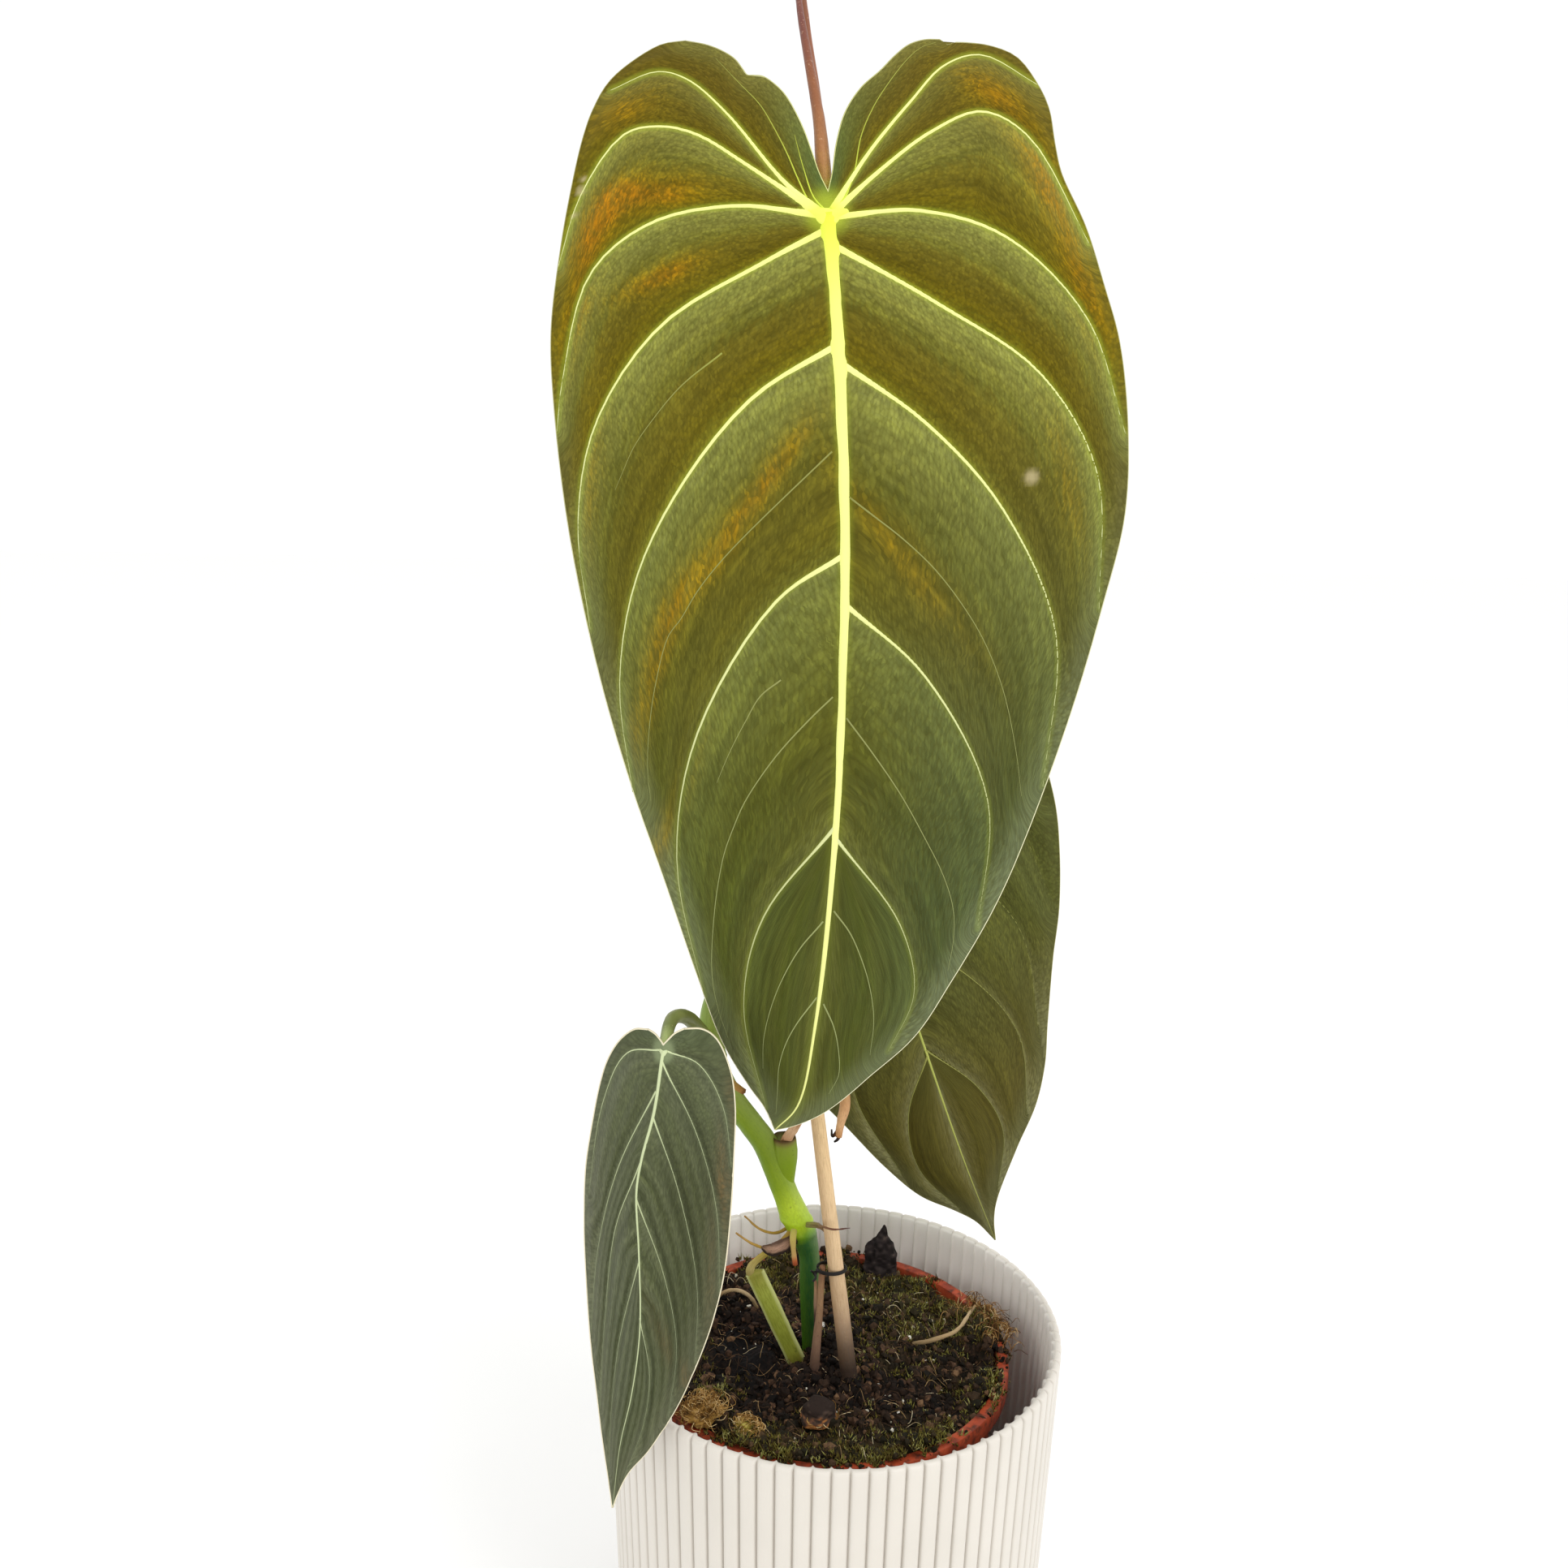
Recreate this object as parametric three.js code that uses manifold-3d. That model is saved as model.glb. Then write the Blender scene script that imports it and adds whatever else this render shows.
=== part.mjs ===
// A black gold philodendron in its nursery pot, standing in a fluted decorative pot.
// Millimetres, +Z up, the front of the plant looks along -Y.
// The origin is the middle of the decorative pot's flat underside.

import * as THREE from 'three';
import { mergeVertices } from 'three/addons/utils/BufferGeometryUtils.js';
import Module from 'manifold-3d';

const wasm = await Module();
wasm.setup();

// Clear distance between pieces that touch on the real plant.
const seatGap = 0.3;

// Decorative pot: thin, slightly tapered, fluted inside and out.
const potHeight = 126;
const potRimRadius = 70;
const potBaseRadius = 65.5;
const potWall = 2.4;
const potFloor = 3;
const potFootRound = 1.2;
const fluteCount = 86;
const fluteDepth = 0.9;

// Nursery pot: a plain tapered pot with a skirt under its rim and drain holes.
const nurseryX = -1.6;
const nurseryY = 2.5;
const nurseryRimZ = 114;
const nurseryRimRadius = 56.7;
const nurseryTopRadius = 54;
const nurseryBaseRadius = 42;
const nurseryWall = 1;
const nurserySkirt = 6;
const nurserySides = 44;
const nurseryBottomZ = potFloor + seatGap;
const drainCount = 6;
const drainRadius = 4;
const drainRing = 28;
const drainCut = 8;
const drainSides = 10;

// Soil: level a little under the nursery pot's rim, higher round the stem.
const soilEdgeZ = 111.5;
const soilMound = 4;
const soilMoundSpread = 26;
const soilRings = 13;
const soilSectors = 40;

// Stem: a dark lower internode, a knee at the first node, and a thick pale upper internode
// that leans to the left and then climbs behind the large leaf.
const stemPath = [
  [-5.5, 2, 88], [-6.4, 2, 114], [-7.4, 2, 133], [-7.9, 2, 148], [-9, 2, 156],
  [-13.4, 2, 165], [-18.6, 2, 175], [-22.6, 2, 183.5], [-27.4, 2, 190.5], [-33, 3, 198],
  [-38, 5, 209], [-38, 7, 223], [-32, 8.5, 240], [-25, 9, 256], [-21, 9, 273], [-19, 9, 291],
];
const stemRadii = [2.2, 2.6, 3.1, 3.4, 4.9, 4.6, 4.5, 4.8, 4.8, 4.6, 4.5, 4.4, 4.2, 4, 3.8, 2.2];

// What grows out of the stem: each is a path with a radius at its start and at its end.
const shoots = {
  cutBranch: { path: [[-19.5, 1.5, 177], [-17.6, 0.5, 182], [-16.8, -0.5, 186]], radii: [4.2, 3.3] },
  branchHusk: { path: [[-16.6, -0.6, 184], [-15, -2.6, 188], [-12.4, -3.2, 192.5]], radii: [1.5, 1] },
  hangingRoot: { path: [[-12, 0.5, 158], [-13.2, -3.4, 155], [-12.3, -4, 146.5]], radii: [1.3, 0.8] },
  archingRoot: {
    path: [[-24, 8, 254], [-17, 4, 243], [-7, -1, 223], [0.4, -4, 205], [1.2, -4.6, 196], [-0.4, -5, 189.5]],
    radii: [2, 1.2],
  },
  sideRoot: { path: [[-36, 6, 212], [-33, 0, 206], [-28.5, -2, 203.5]], radii: [1.3, 0.9] },
  wireRootLow: { path: [[-12, 1, 156], [-17, -2, 153], [-21, -2, 150.5], [-30.5, -3, 156]], radii: [0.7, 0.45] },
  wireRootHigh: { path: [[-12, 2, 157.5], [-18, 1, 154.5], [-23, 1, 155], [-28, 0, 160]], radii: [0.6, 0.45] },
  tendril: {
    path: [[-8, 0, 158], [-6, -9, 163], [-4.5, -16.8, 166.6], [-1.5, -18.6, 166.8], [3.4, -17, 166.4]],
    radii: [0.7, 0.45],
  },
};

// Leaf stalks: path, and radius along it.
const stalks = {
  large: {
    path: [
      [-18.6, 8.5, 290], [-17.8, 12, 320], [-16, 18, 365], [-13.6, 25, 412], [-11.4, 31, 452],
      [-12, 33, 479], [-16, 28.5, 501], [-18.6, 12, 513], [-19, -4, 507], [-18.2, -15, 494.5],
      [-15.7, -27, 478.3], [-13, -37, 462.6], [-12, -41.6, 452.7], [-10.8, -42.7, 443.2],
    ],
    radii: [3.4, 2.2, 1.8, 1.6, 1.4, 1.3, 1.2, 1.15, 1.15, 1.25, 1.5, 1.75, 1.85, 1.6],
    steps: 46,
    colour: '#a86f60',
  },
  back: {
    path: [
      [-21, 9.5, 268], [-13.4, 13, 290], [-9, 17, 316], [-7.6, 23, 341], [-8.8, 29.5, 350],
      [-11.6, 32.6, 337], [-12.6, 29.8, 310.6],
    ],
    radii: [3, 2, 1.7, 1.6, 1.6, 1.6, 1.5],
    steps: 24,
    colour: '#7d8a45',
  },
  front: {
    path: [
      [-38, 4, 211], [-40.5, -10, 223], [-44, -28, 235.6], [-46.8, -45, 241.4], [-47.6, -57.2, 238.8],
    ],
    radii: [3, 2.3, 2, 1.8, 1.5],
    steps: 18,
    colour: '#6f7f3f',
  },
};

// Leaf blades. Each outline, midrib and vein is a list of [across, up] from the point where
// the stalk meets the blade; the blade's upper face looks along -Y.
const blades = {
  large: {
    joint: [-10.7, -46, 441.1],
    turn: 0,
    thickness: 0.95,
    quilt: 2.4,
    fullPanel: 16,
    rows: 34,
    lobeRows: 8,
    columns: 8,
    sinus: [0, 4.4],
    tip: [-8.4, -234],
    leftSinus: [[-2.4, 10], [-4.6, 15], [-7.6, 21.8], [-12, 27.4], [-17.8, 30.2], [-24, 34], [-28.4, 36.3]],
    leftTop: [-33.7, 37.9],
    leftMargin: [
      [-39, 37.2], [-46.1, 33.3], [-51.4, 28.8], [-54.8, 23.2], [-57.2, 16.9], [-60.2, 5], [-62.9, -7.8],
      [-65.6, -26.6], [-65.2, -43.9], [-61.9, -73.6], [-54.9, -107.7], [-46.5, -137.1], [-38, -161.7],
      [-29.5, -187.6], [-22.8, -206.8], [-15.4, -220.4], [-11.4, -226.6],
    ],
    rightSinus: [[2, 10], [3.4, 15.8], [5.2, 21.4], [10.8, 28.8], [16.8, 35.9], [20.7, 38.1]],
    rightTop: [25, 39],
    rightMargin: [
      [31.8, 38.6], [37.1, 38.2], [43, 36], [47.6, 30.8], [50.8, 25], [52.6, 16.7], [54.4, 10.5], [61, -1],
      [66.1, -13], [71.4, -27], [75.1, -48.2], [75.6, -68.2], [71.2, -90.7], [65.6, -114], [56.5, -144.1],
      [47.9, -167.1], [37, -188.9], [28.2, -204.5], [17.3, -215.9], [5.4, -227.6], [-3.4, -232.6],
    ],
    midrib: [[0, 0], [2.9, -26.1], [6, -74], [6.3, -110], [5.7, -146], [1.8, -200.8], [-2.5, -226.3], [-8.4, -234]],
    veins: [
      [[-2, 0.4], [-10.4, 6.7], [-24, 21.8], [-32.9, 29.1], [-40, 31], [-51, 27]],
      [[-3, 0.3], [-19.3, 10.4], [-30.5, 16.8], [-39.4, 18.7], [-47.6, 17], [-58, 3.6], [-63.6, -12]],
      [[-2.5, -0.6], [-21.4, 1.2], [-41.6, -2.7], [-55.9, -13.9], [-63, -38], [-64.6, -50]],
      [[0.4, -3.4], [-14.7, -11.2], [-39.1, -25.7], [-54.9, -48.2], [-59.6, -72], [-56.8, -98]],
      [[3.4, -29], [-16.7, -41.5], [-34.5, -63.4], [-45.4, -86.2], [-49.4, -112], [-46.2, -139]],
      [[6.1, -78], [-10.5, -89.8], [-29.7, -123.3], [-34.8, -156], [-27.6, -194]],
      [[5.7, -146], [-12.3, -170.7], [-17.2, -196], [-10.9, -227]],
      [[1, 0.6], [9.2, 13.3], [18.5, 24.8], [26, 33.1], [34.7, 36], [48, 30]],
      [[1.4, 0], [11.7, 9.3], [23.5, 18.3], [35, 23.2], [46.1, 18.3], [62, -4.6]],
      [[1, -1], [21.6, 0.9], [42.3, -4.3], [63.1, -22], [74.4, -48]],
      [[1.3, -7], [27.2, -19.9], [52.2, -34.8], [67.8, -57.7], [70.6, -91]],
      [[3.4, -33], [24.9, -46.9], [44.7, -67], [59.7, -97.3], [58.6, -136]],
      [[6.4, -90], [26.9, -107.7], [44.3, -139.5], [43.4, -174]],
      [[5.6, -149], [23, -172.4], [27.5, -192], [21.4, -209]],
    ],
    bow: { across: 9 / 5184, rise: 7 / 1764, fall: 10 / 8100, fallStart: -150 },
    fold: { left: 0, right: 0 },
    colour: '#4d5524',
  },
  back: {
    joint: [-12.4, 26, 308.6],
    turn: 21,
    thickness: 0.95,
    quilt: 1.9,
    fullPanel: 14,
    rows: 22,
    lobeRows: 5,
    columns: 6,
    sinus: [0, 4],
    tip: [0.2, -188],
    leftSinus: [[-2.4, 9], [-5.5, 15], [-11, 23], [-17, 28]],
    leftTop: [-24, 30],
    leftMargin: [
      [-34, 26.5], [-43, 17], [-49, 4], [-52.5, -14], [-54, -36], [-53, -58], [-49.5, -82], [-43, -106],
      [-33, -129], [-24.8, -149], [-17.6, -162.4], [-9.2, -171], [-3.6, -178],
    ],
    rightSinus: [[2.4, 9], [5.5, 15], [11, 23], [17, 28]],
    rightTop: [24, 30],
    rightMargin: [
      [35, 27], [46, 18], [55.6, 4], [62, -14], [65.4, -34], [64.8, -52], [61.4, -67], [55.2, -85], [48.4, -99],
      [39.8, -119], [34.6, -132], [27.6, -144], [17.4, -156], [5.2, -172.6], [2, -180],
    ],
    midrib: [[0, 0], [1.5, -50], [0.5, -110], [-0.2, -150], [0.2, -188]],
    veins: [
      [[-1, 0.6], [-18, 15], [-29, 20], [-43, 12]],
      [[-1.4, -0.6], [-24, 0.5], [-42, -12], [-52, -44]],
      [[0.6, -6], [-24, -22], [-42, -48], [-47, -86]],
      [[1.3, -34], [-20, -52], [-35, -80], [-36, -120]],
      [[1, -72], [-17, -92], [-26, -120], [-21, -152]],
      [[0.4, -114], [-12, -132], [-15, -152], [-7, -172]],
      [[1, 0.6], [18, 15], [31, 20], [50, 11]],
      [[1.4, -0.6], [26, 0.5], [48, -14], [62, -50]],
      [[1.2, -6], [28, -22], [50, -50], [54, -84]],
      [[1.6, -34], [24, -54], [41, -84], [36, -122]],
      [[1.2, -72], [20, -92], [30, -118], [24, -146]],
      [[0.6, -112], [12, -130], [15, -148], [7, -168]],
    ],
    bow: { across: 8 / 3600, rise: 5 / 900, fall: 8 / 4900, fallStart: -115 },
    fold: { left: 0.05, right: 0.05 },
    colour: '#595c2d',
  },
  front: {
    joint: [-47.6, -62, 239.1],
    turn: 0,
    thickness: 1.25,
    quilt: 1.3,
    fullPanel: 8,
    rows: 22,
    lobeRows: 3,
    columns: 6,
    sinus: [0, 1.4],
    tip: [-13.6, -131.5],
    leftSinus: [[-1.2, 2.2], [-2.6, 2.9]],
    leftTop: [-4.4, 3.2],
    leftMargin: [
      [-8, 2], [-12, -1.6], [-15.4, -7.6], [-17.8, -15.4], [-19.9, -26.5], [-21.8, -39.5], [-22.6, -56],
      [-22.2, -74], [-20.9, -90], [-18.3, -105.5], [-16.1, -117.5], [-14.5, -126],
    ],
    rightSinus: [[1.2, 2.4], [2.8, 3.6]],
    rightTop: [5, 4.4],
    rightMargin: [
      [9.4, 4], [13.4, 1.2], [16.6, -5.6], [18, -15.7], [17.8, -32], [17.2, -46], [15.9, -62.3], [14.3, -71.6],
      [11.2, -83.2], [6.9, -95], [2.4, -105], [-4.4, -115.6], [-9.6, -121.6], [-12.8, -128.6],
    ],
    midrib: [
      [0, 0], [-2.1, -15.4], [-5.4, -28.9], [-6.7, -38], [-6.1, -56], [-6, -78], [-8.3, -97], [-11.4, -112],
      [-13.6, -131.5],
    ],
    veins: [
      [[-1, 0], [-10, -4], [-17, -20], [-21, -46]],
      [[-1.6, -10], [-12, -34], [-18.6, -62], [-21, -88]],
      [[-5.4, -29], [-13, -52], [-16.6, -82], [-17.8, -106]],
      [[-6.2, -58], [-12, -84], [-14.2, -104], [-14.8, -122]],
      [[1, 0], [9, -4], [15, -16], [17.4, -34]],
      [[0.2, -2], [8, -22], [13.6, -46], [14.6, -70]],
      [[-2.4, -17], [4, -40], [8.6, -66], [8.4, -90]],
      [[-6, -40], [0, -62], [3.4, -84], [1.2, -106]],
      [[-6, -74], [-3.6, -92], [-5.6, -108], [-10.6, -122.6]],
    ],
    bow: { across: 0, rise: 0.03, fall: 0, fallStart: -120, riseStart: -8 },
    fold: { left: 1, right: 0.3 },
    colour: '#56634a',
  },
};

// Stake, its tie, and the thin stick that the tie holds to it.
const stakeFoot = [17.7, -13.9, 20];
const stakeTop = [-32.1, -13.9, 385];
const stakeRadii = [2.9, 1.8];
const sideStickFoot = [-6.3, -9.8, 98];
const sideStickTop = [-4.2, -13.9, 152];
const sideStickRadii = [1.3, 0.9];
const tieZ = 150.4;
const tieWire = 0.45;
const tieSlack = [0.3, 0.7];

// Dead leaf stalk: a strap from the soil, flat towards the front, that folds over and dries
// to a thread.
const deadStalk = {
  frontY: -3,
  flatness: 0.55,
  path: [[-8.6, -3, 99], [-11, -3, 112], [-18, -3, 128], [-24.4, -3, 142.6]],
  widths: [1.9, 2.2, 2.3, 2.2],
  threadPath: [[-24.2, -3, 141.4], [-25.4, -3, 144.6], [-21.6, -2.6, 148.8], [-17.6, -2, 151.2]],
  threadRadii: [1.5, 0.6],
};

// Loose things lying on the soil: middle, half sizes and turn about Z in degrees.
const litter = {
  bark_chip: { at: [18.4, 47.4, 118], half: [6.8, 2.7, 12], turn: -15, seed: 3, point: 0.75 },
  bark_nugget: { at: [-4.6, -33, 115], half: [5.3, 5, 4.8], turn: 10, seed: 5, point: 0.1 },
  coir_lump_left: { at: [-38.6, -32.4, 118.9], half: [5.6, 4.4, 4.4], turn: 25, seed: 7, point: 0.25 },
  coir_lump_right: { at: [-24.6, -40, 113.4], half: [6.4, 3.5, 4.2], turn: -12, seed: 9, point: 0 },
};
const litterColours = {
  bark_chip: '#2b2420',
  bark_nugget: '#6b5348',
  coir_lump_left: '#8a6a2c',
  coir_lump_right: '#94782f',
};

// Thin roots lying over the soil.
const surfaceRoots = {
  root_right: {
    path: [[25.4, 6.4, 112.6], [32, 4.6, 115.6], [39.6, 8.4, 116.4], [45.4, 18, 116.8], [48.6, 24.4, 116]],
    radii: [0.75, 0.55],
  },
  root_left: {
    path: [[-38.4, 26.8, 111.6], [-36, 26.6, 116.4], [-31.7, 26.2, 118.2], [-27, 25.2, 117], [-24, 26.2, 111.8]],
    radii: [0.6, 0.6],
  },
};

const pointOf = ([x, y, z]) => new THREE.Vector3(x, y, z);
const curveOf = (path) => new THREE.CatmullRomCurve3(path.map(pointOf), false, 'centripetal');

// Closed geometry from triangles, turned so that its faces point out.
function closedGeometry(positions, triangles) {
  let volume = 0;
  const [a, b, c] = [new THREE.Vector3(), new THREE.Vector3(), new THREE.Vector3()];
  for (const [i, j, k] of triangles) {
    a.fromArray(positions, 3 * i);
    b.fromArray(positions, 3 * j);
    c.fromArray(positions, 3 * k);
    volume += a.dot(b.cross(c));
  }
  const outward = volume > 0 ? triangles : triangles.map(([i, j, k]) => [i, k, j]);
  const geometry = new THREE.BufferGeometry();
  geometry.setAttribute('position', new THREE.Float32BufferAttribute(positions, 3));
  geometry.setIndex(outward.flat());
  return geometry;
}

// Geometry with its vertices merged, its flat triangles dropped and its faces pointing out.
function weldedGeometry(geometry) {
  const bare = geometry.clone();
  bare.deleteAttribute('normal');
  bare.deleteAttribute('uv');
  const merged = mergeVertices(bare, 1e-3);
  const index = merged.index.array;
  const triangles = [];
  for (let t = 0; t < index.length; t += 3) {
    const [i, j, k] = [index[t], index[t + 1], index[t + 2]];
    if (i !== j && j !== k && k !== i) triangles.push([i, j, k]);
  }
  return closedGeometry(Array.from(merged.attributes.position.array), triangles);
}

function solidOf(geometry) {
  const welded = weldedGeometry(geometry);
  return new wasm.Manifold(new wasm.Mesh({
    numProp: 3,
    vertProperties: welded.attributes.position.array,
    triVerts: new Uint32Array(welded.index.array),
  }));
}

// The largest body of a solid, so that no loose scrap of a cut is kept.
function geometryOf(solid) {
  const bodies = solid.decompose();
  bodies.sort((one, other) => other.volume() - one.volume());
  const mesh = bodies[0].getMesh();
  const geometry = new THREE.BufferGeometry();
  geometry.setAttribute('position', new THREE.BufferAttribute(new Float32Array(mesh.vertProperties), 3));
  geometry.setIndex(new THREE.BufferAttribute(new Uint32Array(mesh.triVerts), 1));
  return geometry;
}

// Rings of points joined one to the next, closed at both ends by a fan round a point.
function loftedGeometry(rings, startPoint, endPoint) {
  const count = rings[0].length;
  const positions = rings.flat().concat([startPoint, endPoint]).flat();
  const start = rings.length * count;
  const triangles = [];
  for (let r = 0; r + 1 < rings.length; r += 1) {
    for (let s = 0; s < count; s += 1) {
      const next = (s + 1) % count;
      const [a, b] = [r * count + s, r * count + next];
      triangles.push([a, b, b + count], [a, b + count, a + count]);
    }
  }
  const last = (rings.length - 1) * count;
  for (let s = 0; s < count; s += 1) {
    const next = (s + 1) % count;
    triangles.push([start, next, s], [start + 1, last + s, last + next]);
  }
  return closedGeometry(positions, triangles);
}

function valueAlong(values, t) {
  const place = t * (values.length - 1);
  const low = Math.min(Math.floor(place), values.length - 2);
  return THREE.MathUtils.lerp(values[low], values[low + 1], place - low);
}

// Round tube along a path, with its radius given at points along it.
function tubeGeometry(path, radii, { sides = 8, steps = 12, grow = 0 } = {}) {
  const curve = curveOf(path);
  const frames = curve.computeFrenetFrames(steps, false);
  const rings = [];
  for (let i = 0; i <= steps; i += 1) {
    const t = i / steps;
    const centre = curve.getPoint(t);
    const radius = valueAlong(radii, t) + grow;
    const ring = [];
    for (let s = 0; s < sides; s += 1) {
      const angle = (2 * Math.PI * s) / sides;
      const offset = frames.normals[i].clone().multiplyScalar(radius * Math.cos(angle));
      offset.addScaledVector(frames.binormals[i], radius * Math.sin(angle));
      ring.push(centre.clone().add(offset).toArray());
    }
    rings.push(ring);
  }
  const dome = 0.5;
  const first = curve.getPoint(0).addScaledVector(frames.tangents[0], -dome * (radii[0] + grow));
  const lastRadius = radii[radii.length - 1] + grow;
  const end = curve.getPoint(1).addScaledVector(frames.tangents[steps], dome * lastRadius);
  return loftedGeometry(rings, first.toArray(), end.toArray());
}

function outerPotGeometry() {
  const flutePoints = 3;
  const count = fluteCount * flutePoints;
  const ring = (radius, depth, z) => Array.from({ length: count }, (unused, i) => {
    const angle = (2 * Math.PI * i) / count;
    const r = radius - (i % flutePoints === 0 ? depth : 0);
    return [r * Math.cos(angle), r * Math.sin(angle), z];
  });
  const radiusAt = (z) => THREE.MathUtils.lerp(potBaseRadius, potRimRadius, z / potHeight);
  const rings = [
    ring(potBaseRadius - potFootRound, fluteDepth, 0),
    ring(radiusAt(potFootRound), fluteDepth, potFootRound),
    ring(potRimRadius, fluteDepth, potHeight),
    ring(potRimRadius - potWall, fluteDepth, potHeight),
    ring(radiusAt(potFloor) - potWall, fluteDepth, potFloor),
  ];
  return loftedGeometry(rings, [0, 0, 0], [0, 0, potFloor]);
}

function nurseryPotGeometry() {
  const height = nurseryRimZ - nurseryBottomZ;
  const skirtZ = height - nurserySkirt;
  const skirtRadius = THREE.MathUtils.lerp(nurseryBaseRadius, nurseryTopRadius, skirtZ / height);
  const profile = [
    [0, 0], [nurseryBaseRadius, 0], [skirtRadius, skirtZ], [nurseryRimRadius, skirtZ],
    [nurseryRimRadius, height - nurseryWall], [nurseryRimRadius - nurseryWall, height],
    [nurseryTopRadius - nurseryWall, height],
    [nurseryBaseRadius - nurseryWall, nurseryWall], [0, nurseryWall],
  ].map(([r, z]) => new THREE.Vector2(r, z));
  let pot = solidOf(new THREE.LatheGeometry(profile, nurserySides).rotateX(Math.PI / 2));
  for (let i = 0; i < drainCount; i += 1) {
    const angle = (2 * Math.PI * i) / drainCount;
    const hole = new THREE.CylinderGeometry(drainRadius, drainRadius, drainCut, drainSides);
    hole.rotateX(Math.PI / 2);
    hole.translate(drainRing * Math.cos(angle), drainRing * Math.sin(angle), 0);
    pot = pot.subtract(solidOf(hole));
  }
  return geometryOf(pot).translate(nurseryX, nurseryY, nurseryBottomZ);
}

// Height of the soil: a mound round the stem, with lumps from a few crossing waves.
function soilTop(x, y) {
  const away = Math.hypot(x + 5, y + 2);
  const mound = soilMound * Math.exp(-((away / soilMoundSpread) ** 2));
  const lumps = 1.1 * Math.sin(0.21 * x + 0.8) * Math.cos(0.17 * y)
    + 0.8 * Math.sin(0.33 * x - 0.27 * y + 2)
    + 0.6 * Math.sin(0.52 * x + 0.47 * y);
  return soilEdgeZ + mound + lumps;
}

function soilGeometry() {
  const height = nurseryRimZ - nurseryBottomZ;
  const wallRadius = (z) => THREE.MathUtils.lerp(
    nurseryBaseRadius, nurseryTopRadius, (z - nurseryBottomZ - nurseryWall) / (height - nurseryWall),
  ) - nurseryWall - 2 * seatGap;
  const ring = (radius, zAt) => Array.from({ length: soilSectors }, (unused, i) => {
    const angle = (2 * Math.PI * i) / soilSectors;
    const [x, y] = [nurseryX + radius * Math.cos(angle), nurseryY + radius * Math.sin(angle)];
    return [x, y, zAt(x, y)];
  });
  const bottom = nurseryBottomZ + nurseryWall + seatGap;
  const topRadius = wallRadius(soilEdgeZ);
  const rings = [ring(wallRadius(bottom), () => bottom)];
  for (let r = 0; r < soilRings; r += 1) {
    rings.push(ring(topRadius * (1 - r / soilRings), soilTop));
  }
  return loftedGeometry(rings, [nurseryX, nurseryY, bottom], [nurseryX, nurseryY, soilTop(nurseryX, nurseryY)]);
}

// The stem with everything that grows out of it joined on.
function stemSolid(grow = 0) {
  let stem = solidOf(tubeGeometry(stemPath, stemRadii, { sides: 12, steps: 40, grow }));
  for (const { path, radii } of Object.values(shoots)) {
    const sides = radii[0] > 1 ? 8 : 5;
    stem = stem.add(solidOf(tubeGeometry(path, radii, { sides, steps: 3 * path.length - 3, grow })));
  }
  return stem;
}

// A stalk starts inside the stem and is cut back to it, so that it seats on its surface.
function stalkGeometry({ path, radii, steps }, stemRoom) {
  const tube = solidOf(tubeGeometry(path, radii, { sides: 8, steps }));
  return geometryOf(tube.subtract(stemRoom));
}

// Points along a spline through [across, up] pairs.
function polyline(points, samples) {
  const curve = new THREE.CatmullRomCurve3(
    points.map(([x, z]) => new THREE.Vector3(x, 0, z)), false, 'centripetal',
  );
  return curve.getPoints(samples).map(({ x, z }) => [x, z]);
}

// Across value of a line that rises or falls all the way, at a height.
function acrossAt(line, z) {
  for (let i = 0; i + 1 < line.length; i += 1) {
    const [[x0, z0], [x1, z1]] = [line[i], line[i + 1]];
    if ((z - z0) * (z - z1) <= 0 && z0 !== z1) return x0 + ((x1 - x0) * (z - z0)) / (z1 - z0);
  }
  const nearest = Math.abs(z - line[0][1]) < Math.abs(z - line[line.length - 1][1]) ? line[0] : line.at(-1);
  return nearest[0];
}

function distanceTo(line, x, z) {
  let least = Infinity;
  for (let i = 0; i + 1 < line.length; i += 1) {
    const [[x0, z0], [x1, z1]] = [line[i], line[i + 1]];
    const [dx, dz] = [x1 - x0, z1 - z0];
    const t = THREE.MathUtils.clamp(((x - x0) * dx + (z - z0) * dz) / (dx * dx + dz * dz), 0, 1);
    least = Math.min(least, Math.hypot(x - x0 - t * dx, z - z0 - t * dz));
  }
  return least;
}

// How far the blade stands forward between its veins: nothing on a vein, most half way
// between the two nearest ones, and less where they run close together.
function quiltAt(lines, fullPanel, x, z) {
  const distances = lines.map((line) => distanceTo(line, x, z)).sort((one, other) => one - other);
  const [first, second] = distances;
  const gap = first + second;
  return gap > 0 ? ((4 * first * second) / (gap * gap)) * Math.min(1, gap / fullPanel) : 0;
}

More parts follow.
